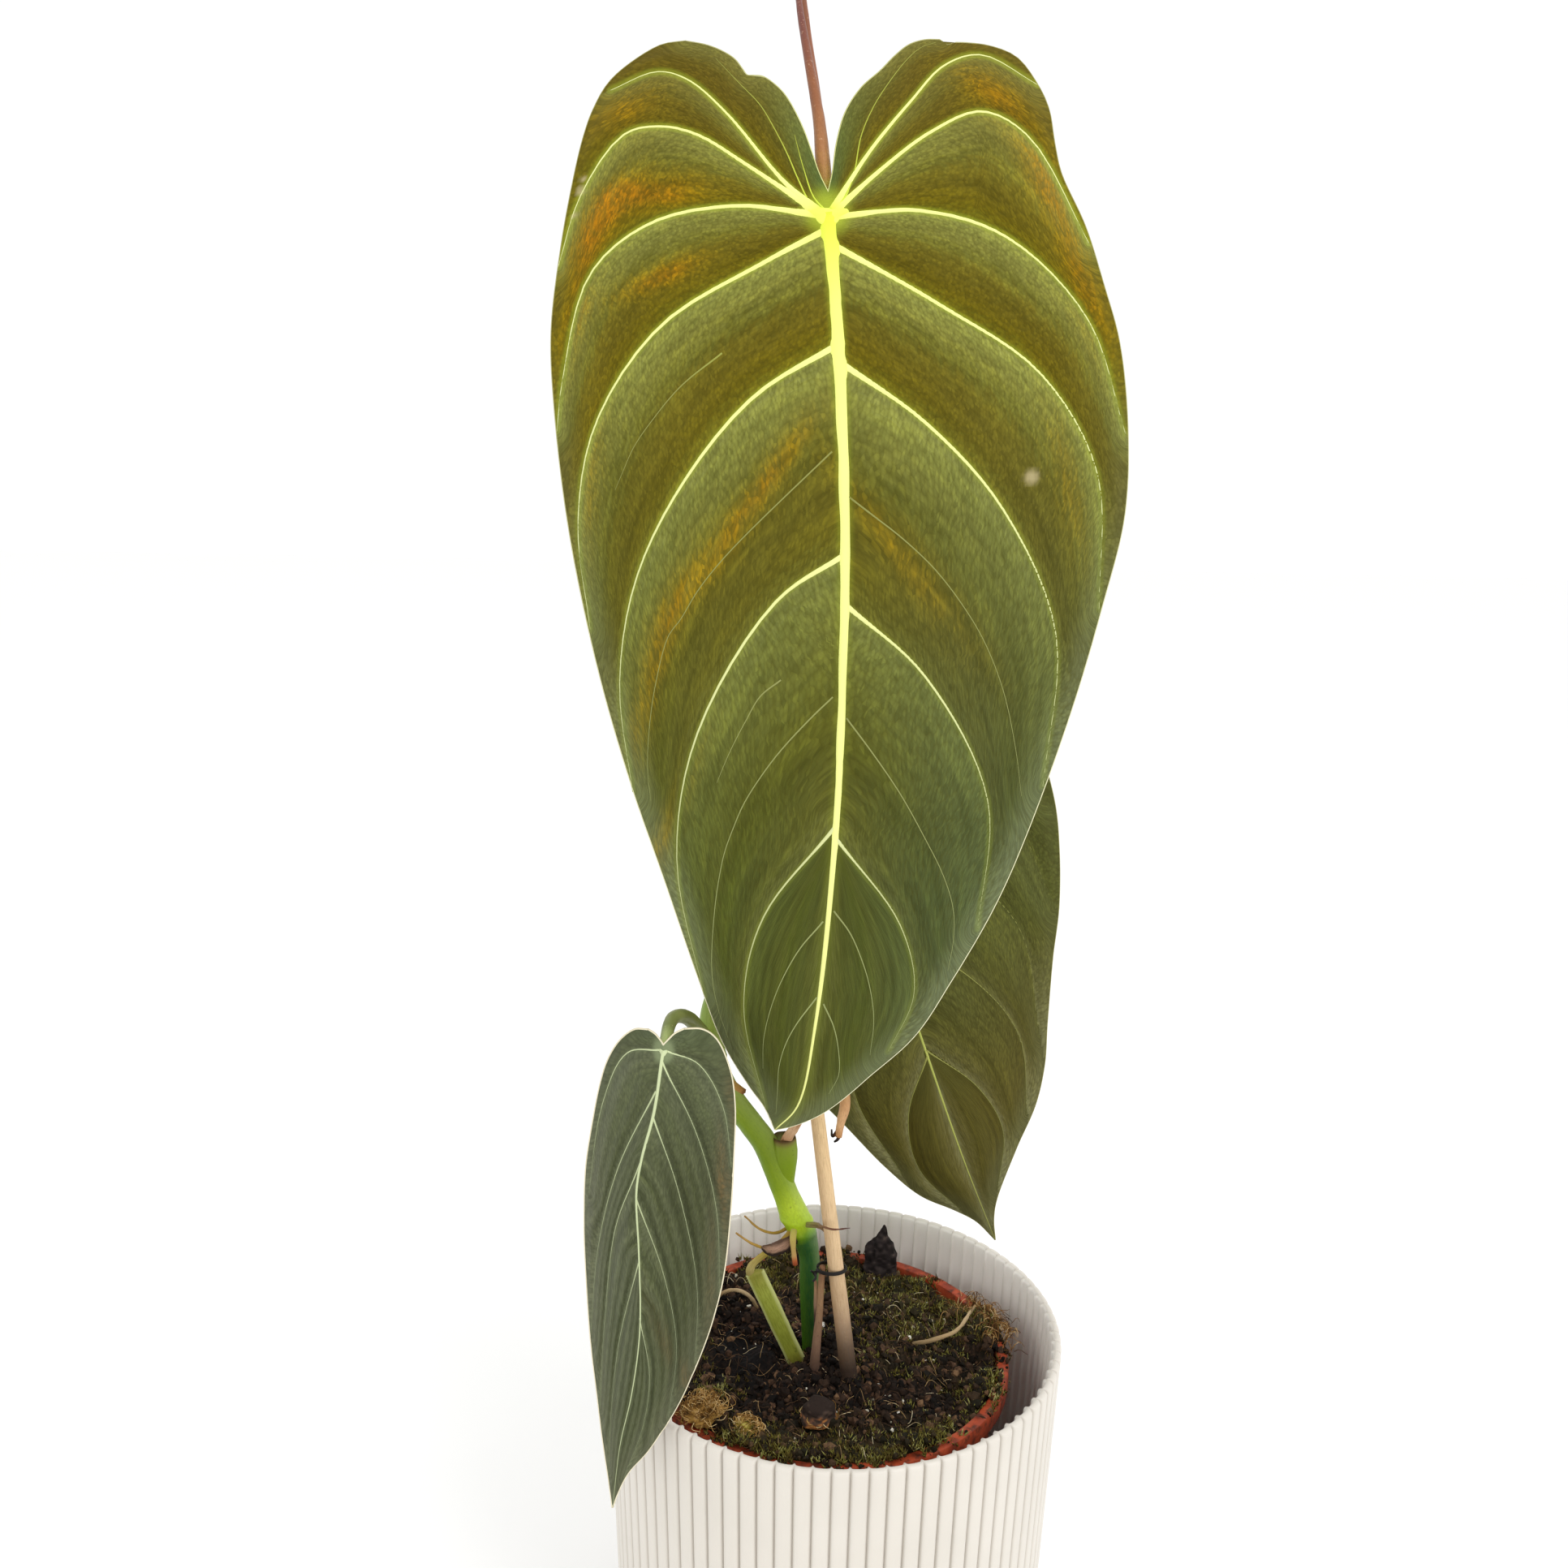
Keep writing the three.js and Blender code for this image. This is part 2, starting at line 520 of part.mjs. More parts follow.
// A heart-shaped blade, bowed, folded along its midrib and quilted between its veins. Its two
// faces have the same triangles, one a thickness behind the other.
function bladeGeometry(blade) {
  const { sinus, tip, rows, lobeRows, columns, bow, fold } = blade;
  const midrib = polyline(blade.midrib, 80);
  const sides = [
    { inner: blade.leftSinus, top: blade.leftTop, outer: blade.leftMargin },
    { inner: blade.rightSinus, top: blade.rightTop, outer: blade.rightMargin },
  ].map(({ inner, top, outer }) => ({
    inner: polyline([sinus, ...inner, top], 60),
    top,
    outer: polyline([top, ...outer, tip], 160),
  }));
  const lines = [midrib, ...sides.map(({ outer }) => outer), ...sides.map(({ inner }) => inner)];
  for (const vein of blade.veins) lines.push(polyline(vein, 24));

  const depthAt = (x, z) => {
    const off = x - acrossAt(midrib, Math.min(z, 0));
    const rise = Math.max(0, z - (bow.riseStart ?? 0));
    const fall = Math.max(0, bow.fallStart - z);
    const folded = off < 0 ? -fold.left * off : fold.right * off;
    const bowed = bow.across * x * x + bow.rise * rise * rise + bow.fall * fall * fall;
    return folded + bowed - blade.quilt * quiltAt(lines, blade.fullPanel, x, z);
  };

  const flat = [];
  const vertexAt = (x, z) => flat.push([x, z]) - 1;
  const middle = [];
  for (let k = 0; k <= rows; k += 1) {
    const z = THREE.MathUtils.lerp(tip[1], sinus[1], k / rows);
    const x = k === rows ? sinus[0] : acrossAt(midrib, Math.min(z, 0));
    middle.push({ z, vertex: vertexAt(k === 0 ? tip[0] : x, z), x });
  }
  const triangles = [];
  for (const [sideIndex, { inner, top, outer }] of sides.entries()) {
    const grid = [new Array(columns + 1).fill(middle[0].vertex)];
    for (let k = 1; k <= rows + lobeRows; k += 1) {
      const lobe = (k - rows) / lobeRows;
      const z = k <= rows ? middle[k].z : sinus[1] + (top[1] - sinus[1]) * Math.sin((lobe * Math.PI) / 2);
      if (k === rows + lobeRows) {
        grid.push(new Array(columns + 1).fill(vertexAt(top[0], top[1])));
        break;
      }
      const from = k <= rows ? middle[k].x : acrossAt(inner, z);
      const to = acrossAt(outer, z);
      const row = [k <= rows ? middle[k].vertex : vertexAt(from, z)];
      for (let j = 1; j <= columns; j += 1) row.push(vertexAt(THREE.MathUtils.lerp(from, to, j / columns), z));
      grid.push(row);
    }
    for (let k = 0; k + 1 < grid.length; k += 1) {
      for (let j = 0; j < columns; j += 1) {
        const quad = [grid[k][j], grid[k][j + 1], grid[k + 1][j + 1], grid[k + 1][j]];
        if (sideIndex === 0) quad.reverse();
        for (const three of [[quad[0], quad[1], quad[2]], [quad[0], quad[2], quad[3]]]) {
          if (new Set(three).size === 3) triangles.push(three);
        }
      }
    }
  }

  const faceSize = flat.length;
  const positions = [];
  for (const behind of [0, blade.thickness]) {
    for (const [x, z] of flat) positions.push(x, depthAt(x, z) + behind, z);
  }
  const directed = new Set(triangles.flatMap(([i, j, k]) => [`${i},${j}`, `${j},${k}`, `${k},${i}`]));
  const closed = triangles.flatMap(([i, j, k]) => [[i, j, k], [i + faceSize, k + faceSize, j + faceSize]]);
  for (const edge of directed) {
    const [i, j] = edge.split(',').map(Number);
    if (directed.has(`${j},${i}`)) continue;
    closed.push([j, i, i + faceSize], [j, i + faceSize, j + faceSize]);
  }
  return closedGeometry(positions, closed);
}

// A lump of bark or coir: a squared ball, roughened by a few waves and drawn to a point on top.
function litterGeometry({ at, half, turn, seed, point }, grow = 0) {
  const ball = new THREE.IcosahedronGeometry(1, 2);
  ball.deleteAttribute('normal');
  ball.deleteAttribute('uv');
  const lump = mergeVertices(ball, 1e-4);
  const spots = lump.attributes.position;
  const direction = new THREE.Vector3();
  for (let i = 0; i < spots.count; i += 1) {
    direction.fromBufferAttribute(spots, i);
    const rough = 1 + 0.07 * Math.sin(5 * direction.x + seed) * Math.cos(4 * direction.y - seed)
      + 0.05 * Math.sin(7 * direction.z + 2 * seed);
    const narrow = 1 - point * Math.max(0, direction.z);
    spots.setXYZ(
      i,
      direction.x * rough * narrow * (half[0] + grow),
      direction.y * rough * narrow * (half[1] + grow),
      direction.z * rough * (half[2] + grow),
    );
  }
  return lump.rotateZ(THREE.MathUtils.degToRad(turn)).translate(...at);
}

// The wire tie: one closed loop round the stake and the side stick.
function tieGeometry() {
  const sharedY = stakeFoot[1];
  const along = (tieZ - stakeFoot[2]) / (stakeTop[2] - stakeFoot[2]);
  const stakeX = THREE.MathUtils.lerp(stakeFoot[0], stakeTop[0], along);
  const stakeR = THREE.MathUtils.lerp(stakeRadii[0], stakeRadii[1], along);
  const right = stakeX + stakeR + seatGap + tieWire;
  const left = sideStickTop[0] - sideStickRadii[1] - seatGap - tieWire - tieSlack[0];
  const halfWidth = (right - left) / 2;
  const halfDepth = stakeR + seatGap + tieWire + tieSlack[1];
  const [round, sides] = [20, 6];
  const positions = [];
  const triangles = [];
  for (let i = 0; i < round; i += 1) {
    const angle = (2 * Math.PI * i) / round;
    for (let s = 0; s < sides; s += 1) {
      const turn = (2 * Math.PI * s) / sides;
      const out = tieWire * Math.cos(turn);
      positions.push(
        (left + right) / 2 + (halfWidth + out) * Math.cos(angle),
        sharedY + (halfDepth + out) * Math.sin(angle),
        tieZ + tieWire * Math.sin(turn),
      );
      const [a, b] = [i * sides + s, i * sides + ((s + 1) % sides)];
      const across = ((i + 1) % round) * sides;
      const [c, d] = [across + ((s + 1) % sides), across + s];
      triangles.push([a, b, c], [a, c, d]);
    }
  }
  return closedGeometry(positions, triangles);
}

function deadStalkSolid(grow = 0) {
  const { path, widths, threadPath, threadRadii, frontY, flatness } = deadStalk;
  const round = tubeGeometry(path, widths, { sides: 8, steps: 12, grow });
  round.translate(0, -frontY, 0).scale(1, flatness, 1).translate(0, frontY, 0);
  const strap = solidOf(round);
  return strap.add(solidOf(tubeGeometry(threadPath, threadRadii, { sides: 6, steps: 9, grow })));
}

const plant = new THREE.Group();

function addPiece(name, geometry, colour, roughness = 0.7) {
  const material = new THREE.MeshStandardMaterial({ color: colour, roughness, metalness: 0 });
  const mesh = new THREE.Mesh(geometry, material);
  mesh.name = name;
  plant.add(mesh);
  return mesh;
}

addPiece('outer_pot', outerPotGeometry(), '#f1f0ee', 0.55);
addPiece('nursery_pot', nurseryPotGeometry(), '#c4552f', 0.5);

const stemRoom = stemSolid(seatGap);
addPiece('stem', geometryOf(stemSolid()), '#7fa62b', 0.45);
addPiece('dead_stalk', geometryOf(deadStalkSolid().subtract(stemRoom)), '#a8a845');

for (const [name, stalk] of Object.entries(stalks)) {
  addPiece(`leaf_stalk_${name}`, stalkGeometry(stalk, stemRoom), stalk.colour, 0.5);
}
for (const [name, blade] of Object.entries(blades)) {
  const mesh = addPiece(`leaf_blade_${name}`, bladeGeometry(blade), blade.colour, 0.75);
  mesh.position.set(...blade.joint);
  mesh.rotation.y = THREE.MathUtils.degToRad(-blade.turn);
}

const stake = tubeGeometry([stakeFoot, stakeTop], stakeRadii, { sides: 10, steps: 4 });
const sideStick = tubeGeometry([sideStickFoot, sideStickTop], sideStickRadii, { sides: 7, steps: 3 });
addPiece('stake', stake, '#d3b48a');
addPiece('side_stick', sideStick, '#a98770');
addPiece('stake_tie', tieGeometry(), '#26221f', 0.5);

// Holes in the soil for everything that stands or lies in it, each a seat gap larger.
const room = { grow: seatGap };
const standing = [
  stemRoom,
  solidOf(tubeGeometry([stakeFoot, stakeTop], stakeRadii, { sides: 10, steps: 4, ...room })),
  solidOf(tubeGeometry([sideStickFoot, sideStickTop], sideStickRadii, { sides: 7, steps: 3, ...room })),
  deadStalkSolid(seatGap),
];
for (const [name, piece] of Object.entries(litter)) {
  addPiece(name, litterGeometry(piece), litterColours[name], 0.9);
  standing.push(solidOf(litterGeometry(piece, seatGap)));
}
for (const [name, { path, radii }] of Object.entries(surfaceRoots)) {
  addPiece(name, tubeGeometry(path, radii, { sides: 6, steps: 10 }), '#a48d6c');
  standing.push(solidOf(tubeGeometry(path, radii, { sides: 6, steps: 10, ...room })));
}
let soil = solidOf(soilGeometry());
for (const piece of standing) soil = soil.subtract(piece);
addPiece('soil', geometryOf(soil), '#352a22', 0.95);

export default plant;
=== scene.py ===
# A potted black gold philodendron: three velvety hanging leaves on a climbing stem, staked in a
# nursery pot inside a white fluted pot. Z up, the front looks along -Y. Lengths in the
# dictionaries are in millimetres, and newMesh turns them to metres.

from functools import partial
import bpy
import numpy as np
from mathutils import Matrix


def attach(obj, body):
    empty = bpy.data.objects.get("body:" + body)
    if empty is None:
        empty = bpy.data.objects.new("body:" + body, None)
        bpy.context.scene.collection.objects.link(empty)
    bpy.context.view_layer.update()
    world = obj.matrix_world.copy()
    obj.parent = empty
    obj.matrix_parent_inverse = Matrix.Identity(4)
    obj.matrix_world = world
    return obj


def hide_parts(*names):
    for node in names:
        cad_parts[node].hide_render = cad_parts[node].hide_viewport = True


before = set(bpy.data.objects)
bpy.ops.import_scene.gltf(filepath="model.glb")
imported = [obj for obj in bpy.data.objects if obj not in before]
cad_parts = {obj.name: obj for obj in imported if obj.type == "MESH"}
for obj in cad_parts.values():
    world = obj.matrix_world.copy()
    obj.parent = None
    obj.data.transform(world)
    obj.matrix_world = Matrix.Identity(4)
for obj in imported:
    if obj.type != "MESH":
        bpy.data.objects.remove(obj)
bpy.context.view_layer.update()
metre = 0.001
print("frame loaded")


# sRGB hex to linear: v / 12.92 near black, else ((v + 0.055) / 1.055) ** 2.4.
def linearColor(hexText):
    values = np.array([int(hexText[i:i + 2], 16) / 255 for i in (1, 3, 5)])
    linear = np.where(values <= 0.04045, values / 12.92, ((values + 0.055) / 1.055) ** 2.4)
    return (*linear.tolist(), 1.0)


# Adds one node and gives back the named output, or the first in use. A kind may end in its mode,
# as in "Math ADD". Inputs come in order or by name: a value, an sRGB hex colour or an output of
# another node, and None leaves one as it is. A MapRange takes its value, then the span it comes
# from and the span it goes to. Other settings name properties, and "ramp" the stops of a ramp.
def addNode(tree, kind, *inputs, output=None, **settings):
    kind, _, mode = kind.partition(" ")
    node = tree.nodes.new("ShaderNode" + kind)
    if mode:
        setattr(node, "operation" if hasattr(node, "operation") else "interpolation_type", mode)
    for key, value in [*settings.items(), *enumerate(inputs)]:
        if value is None:
            continue
        if key == "ramp":
            stops = node.color_ramp.elements
            while len(stops) < len(value):
                stops.new(0.5)
            for stop, (place, hexText) in zip(stops, value):
                stop.position, stop.color = place, linearColor(hexText)
        elif isinstance(key, str) and hasattr(node, key):
            setattr(node, key, value)
        elif isinstance(value, bpy.types.NodeSocket):
            tree.links.new(value, node.inputs[key])
        else:
            isColor = isinstance(value, str) and value.startswith("#")
            node.inputs[key].default_value = linearColor(value) if isColor else value
    return node.outputs[output] if output else next((s for s in node.outputs if s.enabled), None)


# A new material, addNode for its tree, and the values of the per-point fields that it reads.
def newMaterial(name, *fieldNames):
    material = bpy.data.materials.new(name)
    material.use_nodes = True
    material.node_tree.nodes.clear()
    add = partial(addNode, material.node_tree)
    return material, add, *(add("Attribute", output="Fac", attribute_name=key)
                            for key in fieldNames)


# Ends a material with its one Principled shader. bump is its strength, distance and height.
def addSurface(add, color, roughness, gloss, bump=None, **finish):
    if bump:
        finish["Normal"] = add("Bump", **dict(zip(("Strength", "Distance", "Height"), bump)))
    add("OutputMaterial", Surface=add("BsdfPrincipled", **{
        "Base Color": color, "Roughness": roughness, "Specular IOR Level": gloss, **finish}))


# Colour layers over a base: each mixes a tint, or another output, in by its share.
def layerColors(add, base, layers):
    for share, tint, *blend in layers:
        base = add("Mix", share, *[None] * 5, base, tint, data_type="RGBA",
                   blend_type=blend[0] if blend else "MIX")
    return base


# Quads with two neighbouring corners alike become triangles, thinner ones are dropped.
def tidyFaces(quads):
    same = quads == np.roll(quads, -1, axis=1)
    single = same.sum(axis=1) == 1
    order = (same[single].argmax(axis=1)[:, None] + np.array([1, 2, 3])) % 4
    return [quads[~same.any(axis=1)], np.take_along_axis(quads[single], order, axis=1)]


# Quads between neighbouring rows and columns of an index grid; turned swaps their winding.
def gridQuads(index, turned=False):
    quads = np.stack([index[:-1, :-1], index[:-1, 1:], index[1:, 1:], index[1:, :-1]], axis=-1)
    quads = quads.reshape(-1, 4)
    return quads[:, ::-1] if turned else quads


# An index grid whose last column meets its first again.
def roundGrid(rows, columns):
    index = np.arange(rows * columns).reshape(rows, columns)
    return np.hstack([index, index[:, :1]])


# A closed skin on a grid of points: its columns run round, and its first and last rows are one
# point each. Gives which points of the grid are kept, and the faces between them.
def closedGrid(rows, columns):
    index = roundGrid(rows, columns)
    index[0, :], index[-1, :] = index[0, 0], index[-1, 0]
    kept, index = np.unique(index, return_inverse=True)
    return kept, tidyFaces(gridQuads(index.reshape(rows, -1)))


# A mesh from points in millimetres and blocks of faces.
def newMesh(name, points, faces):
    corners = np.concatenate([block.ravel() for block in faces])
    counts = np.concatenate([np.full(len(block), block.shape[1]) for block in faces])
    mesh = bpy.data.meshes.new(name)
    mesh.vertices.add(len(points))
    mesh.vertices.foreach_set("co", (np.asarray(points) * metre).astype(np.float32).ravel())
    mesh.loops.add(len(corners))
    mesh.loops.foreach_set("vertex_index", corners.astype(np.int32))
    mesh.polygons.add(len(counts))
    mesh.polygons.foreach_set("loop_start", (np.cumsum(counts) - counts).astype(np.int32))
    return mesh


def addObject(name, data):
    made = bpy.data.objects.new(name, data)
    bpy.context.scene.collection.objects.link(made)
    return made


# A piece that rides on the pot in place of a node, with per-point fields. faceMaterials gives a
# material number for each block of faces.
def makePiece(name, points, faces, materials, slotName, node, fields=None, faceMaterials=None,
              crease=None):
    mesh = newMesh(name, points, faces)
    mesh.polygons.foreach_set("use_smooth", np.ones(len(mesh.polygons), dtype=bool))
    for material in materials:
        mesh.materials.append(material)
    if faceMaterials is not None:
        numbers = np.repeat(faceMaterials, [len(block) for block in faces])
        mesh.polygons.foreach_set("material_index", numbers.astype(np.int32))
    for key, values in (fields or {}).items():
        field = mesh.attributes.new(key, "FLOAT", "POINT")
        field.data.foreach_set("value", np.asarray(values, dtype=np.float32))
    mesh.update(calc_edges=True)
    mesh.validate()
    if crease is not None:
        mesh.set_sharp_from_angle(angle=crease)
    piece = addObject(name, mesh)
    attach(piece, "root")
    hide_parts(node)
    return piece


def unit(vectors):
    return vectors / np.linalg.norm(vectors, axis=-1, keepdims=True)


def fullTurn(count):
    return np.linspace(0, 2 * np.pi, count, endpoint=False)


# Rows of x, y and z, with what is the same along a row or a column repeated.
def pointsOf(x, y, z):
    return np.stack(np.broadcast_arrays(x, y, z), axis=-1).reshape(-1, 3)


# Centripetal Catmull-Rom spline: between two points a cubic through both, whose slopes come
# from the neighbours with knots spaced by the square root of the distance.
def splineThrough(points, places):
    points = np.asarray(points, dtype=float)
    padded = np.vstack([2 * points[0] - points[1], points, 2 * points[-1] - points[-2]])
    along = np.asarray(places) * (len(points) - 1)
    low = np.clip(along.astype(int), 0, len(points) - 2)
    t = (along - low)[:, None]
    a, b, c, d = (padded[low + step] for step in range(4))
    before, here, after = (
        np.maximum(np.sqrt(np.linalg.norm(end - start, axis=1)), 1e-4)[:, None]
        for start, end in ((a, b), (b, c), (c, d)))
    slopeB = here * ((b - a) / before - (c - a) / (before + here) + (c - b) / here)
    slopeC = here * ((c - b) / here - (d - b) / (here + after) + (d - c) / after)
    return (b + slopeB * t + (3 * (c - b) - 2 * slopeB - slopeC) * t ** 2
            + (2 * (b - c) + slopeB + slopeC) * t ** 3)


# Tube: rings of radius(t) round a path. The ring's first axis is the tangent crossed with the
# guide direction, and squeeze narrows the second one. The ends close on a small dome.
def tubeSurface(path, radii, guide, sides=24, steps=60, squeeze=1.0, dome=0.5):
    places = np.linspace(0, 1, steps + 1)
    centres = splineThrough(path, places)
    radius = np.interp(places, np.linspace(0, 1, len(radii)), radii)
    tangents = unit(np.gradient(centres, axis=0))
    first = unit(np.cross(tangents, guide))
    second = np.cross(tangents, first)
    angle = fullTurn(sides)
    ring = (np.cos(angle)[None, :, None] * first[:, None]
            + squeeze * np.sin(angle)[None, :, None] * second[:, None])
    points = centres[:, None] + radius[:, None, None] * ring
    ends = np.stack([centres[0] - dome * radius[0] * tangents[0],
                     centres[-1] + dome * radius[-1] * tangents[-1]])
    index = roundGrid(steps + 1, sides)
    last = np.full(sides, (steps + 1) * sides)
    startCap = np.stack([last, index[0, 1:], index[0, :-1]], 1)
    endCap = np.stack([last + 1, index[-1, :-1], index[-1, 1:]], 1)
    faces = [gridQuads(index), startCap, endCap]
    along = np.concatenate([np.repeat(places, sides), [0, 1]])
    around = np.concatenate([np.tile(angle, steps + 1), [0, 0]])
    return np.vstack([points.reshape(-1, 3), ends]), faces, along, around


# Several surfaces as one: points stacked, faces renumbered.
def joinSurfaces(surfaces):
    points, faces, start = [], [], 0
    for surfacePoints, surfaceFaces, *_ in surfaces:
        points.append(surfacePoints)
        faces.extend(block + start for block in surfaceFaces)
        start += len(surfacePoints)
    return np.vstack(points), faces


# Smooth noise in -1..1: values hashed at the corners of a cubic lattice of the given cell,
# blended along each axis by s = t * t * (3 - 2 * t).
def latticeNoise(points, cell, seed):
    place = np.asarray(points, dtype=float) / cell
    base = np.floor(place).astype(np.int64)
    t = place - base
    s = t * t * (3 - 2 * t)
    total = np.zeros(len(place))
    for corner in np.ndindex(2, 2, 2):
        offset = np.array(corner)
        key = (base + offset) @ np.array([73856093, 19349663, 83492791]) + seed * 91763
        key = (key ^ (key >> 13)) * 1274126177
        value = ((key ^ (key >> 16)) & 0xFFFFFF) / 0x7FFFFF - 1
        total += np.prod(np.where(offset, s, 1 - s), axis=1) * value
    return total


# Distance from each (x, z) to a line, the length along the line to its nearest point, and
# which side of it the point lies on, from the cross product with the nearest segment.
def measureLine(line, x, z):
    least, along, side = np.full(len(x), np.inf), np.zeros(len(x)), np.ones(len(x))
    walked = 0.0
    for (x0, z0), (x1, z1) in zip(line[:-1], line[1:]):
        dx, dz = x1 - x0, z1 - z0
        length = np.hypot(dx, dz)
        if length < 1e-6:
            continue
        t = np.clip(((x - x0) * dx + (z - z0) * dz) / length ** 2, 0, 1)
        away = np.hypot(x - x0 - t * dx, z - z0 - t * dz)
        nearer = away < least
        least = np.where(nearer, away, least)
        along = np.where(nearer, walked + t * length, along)
        side = np.where(nearer, np.sign(dx * (z - z0) - dz * (x - x0)), side)
        walked += length
    return least, along, side


# The distance to the nearest of some lines.
def leastAway(lines, x, z):
    return np.min([measureLine(line, x, z)[0] for line in lines], axis=0)


# The across value of a rising or falling line at each height.
def acrossAt(line, z):
    rising = line if line[-1, 1] > line[0, 1] else line[::-1]
    return np.interp(z, np.maximum.accumulate(rising[:, 1]), rising[:, 0])


# The fine curves that a blade's surface and its veins share.
def bladeLines(leaf):
    def spline(points, samples):
        return splineThrough(points, np.linspace(0, 1, samples + 1))

    inner = [spline((leaf["sinus"], *leaf[side + "Sinus"], leaf[side + "Top"]), 60)
             for side in ("left", "right")]
    outer = [spline((leaf[side + "Top"], *leaf[side + "Margin"], leaf["tip"]), 160)
             for side in ("left", "right")]
    return {"midrib": spline(leaf["midrib"], 80), "inner": inner, "outer": outer,
            "borders": [*outer, *inner], "veins": [spline(vein, 24) for vein in leaf["veins"]]}


# How far points lie right of the midrib.
def rightOfMidrib(leaf, x, z):
    return x - acrossAt(leaf["lines"]["midrib"], np.minimum(z, 0))


# Place among the veins: family counts the veins passed from the lobe down to the midrib, with
# its fraction d / (d + d') between two of them, along runs with the veins, room is their gap.
def familyOf(leaf, x, z):
    lines = leaf["lines"]
    split = sum(vein[-1][0] < leaf["splitX"] for vein in leaf["veins"])
    here = np.arange(len(x))
    halves = []
    for inner, veins, turn in ((lines["inner"][0], lines["veins"][:split], 1),
                               (lines["inner"][1], lines["veins"][split:], -1)):
        away, walked, side = np.swapaxes(
            [measureLine(line, x, z) for line in (inner, *veins, lines["midrib"])], 0, 1)
        passed = (turn * side[1:-1] > 0).sum(axis=0)
        near, far = away[passed, here], away[passed + 1, here]
        room = np.maximum(near + far, 1e-6)
        along = (walked[passed, here] * far + walked[passed + 1, here] * near) / room
        halves.append((passed + near / room, along, room))
    return np.where(rightOfMidrib(leaf, x, z) < 0, *halves)


# Depth of the blade's upper face: folded along the midrib, bowed, and standing forward between
# its lines by quilt * 4 * d1 * d2 / (d1 + d2) ** 2, with d1 and d2 the two nearest distances.
# creaseWidth rounds the valleys, and fine pleats run between the veins.
def bladeDepth(leaf, x, z):
    lines, creaseWidth = leaf["lines"], 1.2
    allLines = [lines["midrib"], *lines["borders"], *lines["veins"]]
    distances = np.sort([measureLine(line, x, z)[0] for line in allLines], axis=0)
    nearest = np.sqrt(distances[0] ** 2 + creaseWidth ** 2) - creaseWidth
    gap = np.maximum(nearest + distances[1], 1e-6)
    full = np.minimum(1, gap / leaf["fullPanel"])
    quilted = 4 * nearest * distances[1] / gap ** 2 * full
    off = rightOfMidrib(leaf, x, z)
    rise, fall = np.maximum(0, z - leaf["riseStart"]), np.maximum(0, leaf["fallStart"] - z)
    foldLeft, foldRight = leaf["folds"]
    folded = np.where(off < 0, -foldLeft * off, foldRight * off)
    bowAcross, bowRise, bowFall = leaf["bows"]
    bowed = bowAcross * x ** 2 + bowRise * rise ** 2 + bowFall * fall ** 2
    pleats = np.cos(2 * np.pi * familyOf(leaf, x, z)[0] * leaf["pleats"])
    return folded + bowed - leaf["quilt"] * quilted + leaf["pleatDepth"] * pleats * full


# Blade points to the plant's frame: turned in its own plane, then set at the stalk's end.
def placeBlade(leaf, points):
    turn = np.radians(leaf["turn"])
    x, y, z = points.T
    turned = pointsOf(x * np.cos(turn) - z * np.sin(turn), y, x * np.sin(turn) + z * np.cos(turn))
    return turned + np.array(leaf["joint"])


# Every piece of a leaf shares its node.
def makeLeafPiece(leaf, part, points, faces, materials, fields, **settings):
    makePiece(leaf["name"] + "Leaf" + part, placeBlade(leaf, points), faces, materials,
              "velvet_leaf_" + leaf["name"], "leaf_blade_" + leaf["name"], fields, **settings)


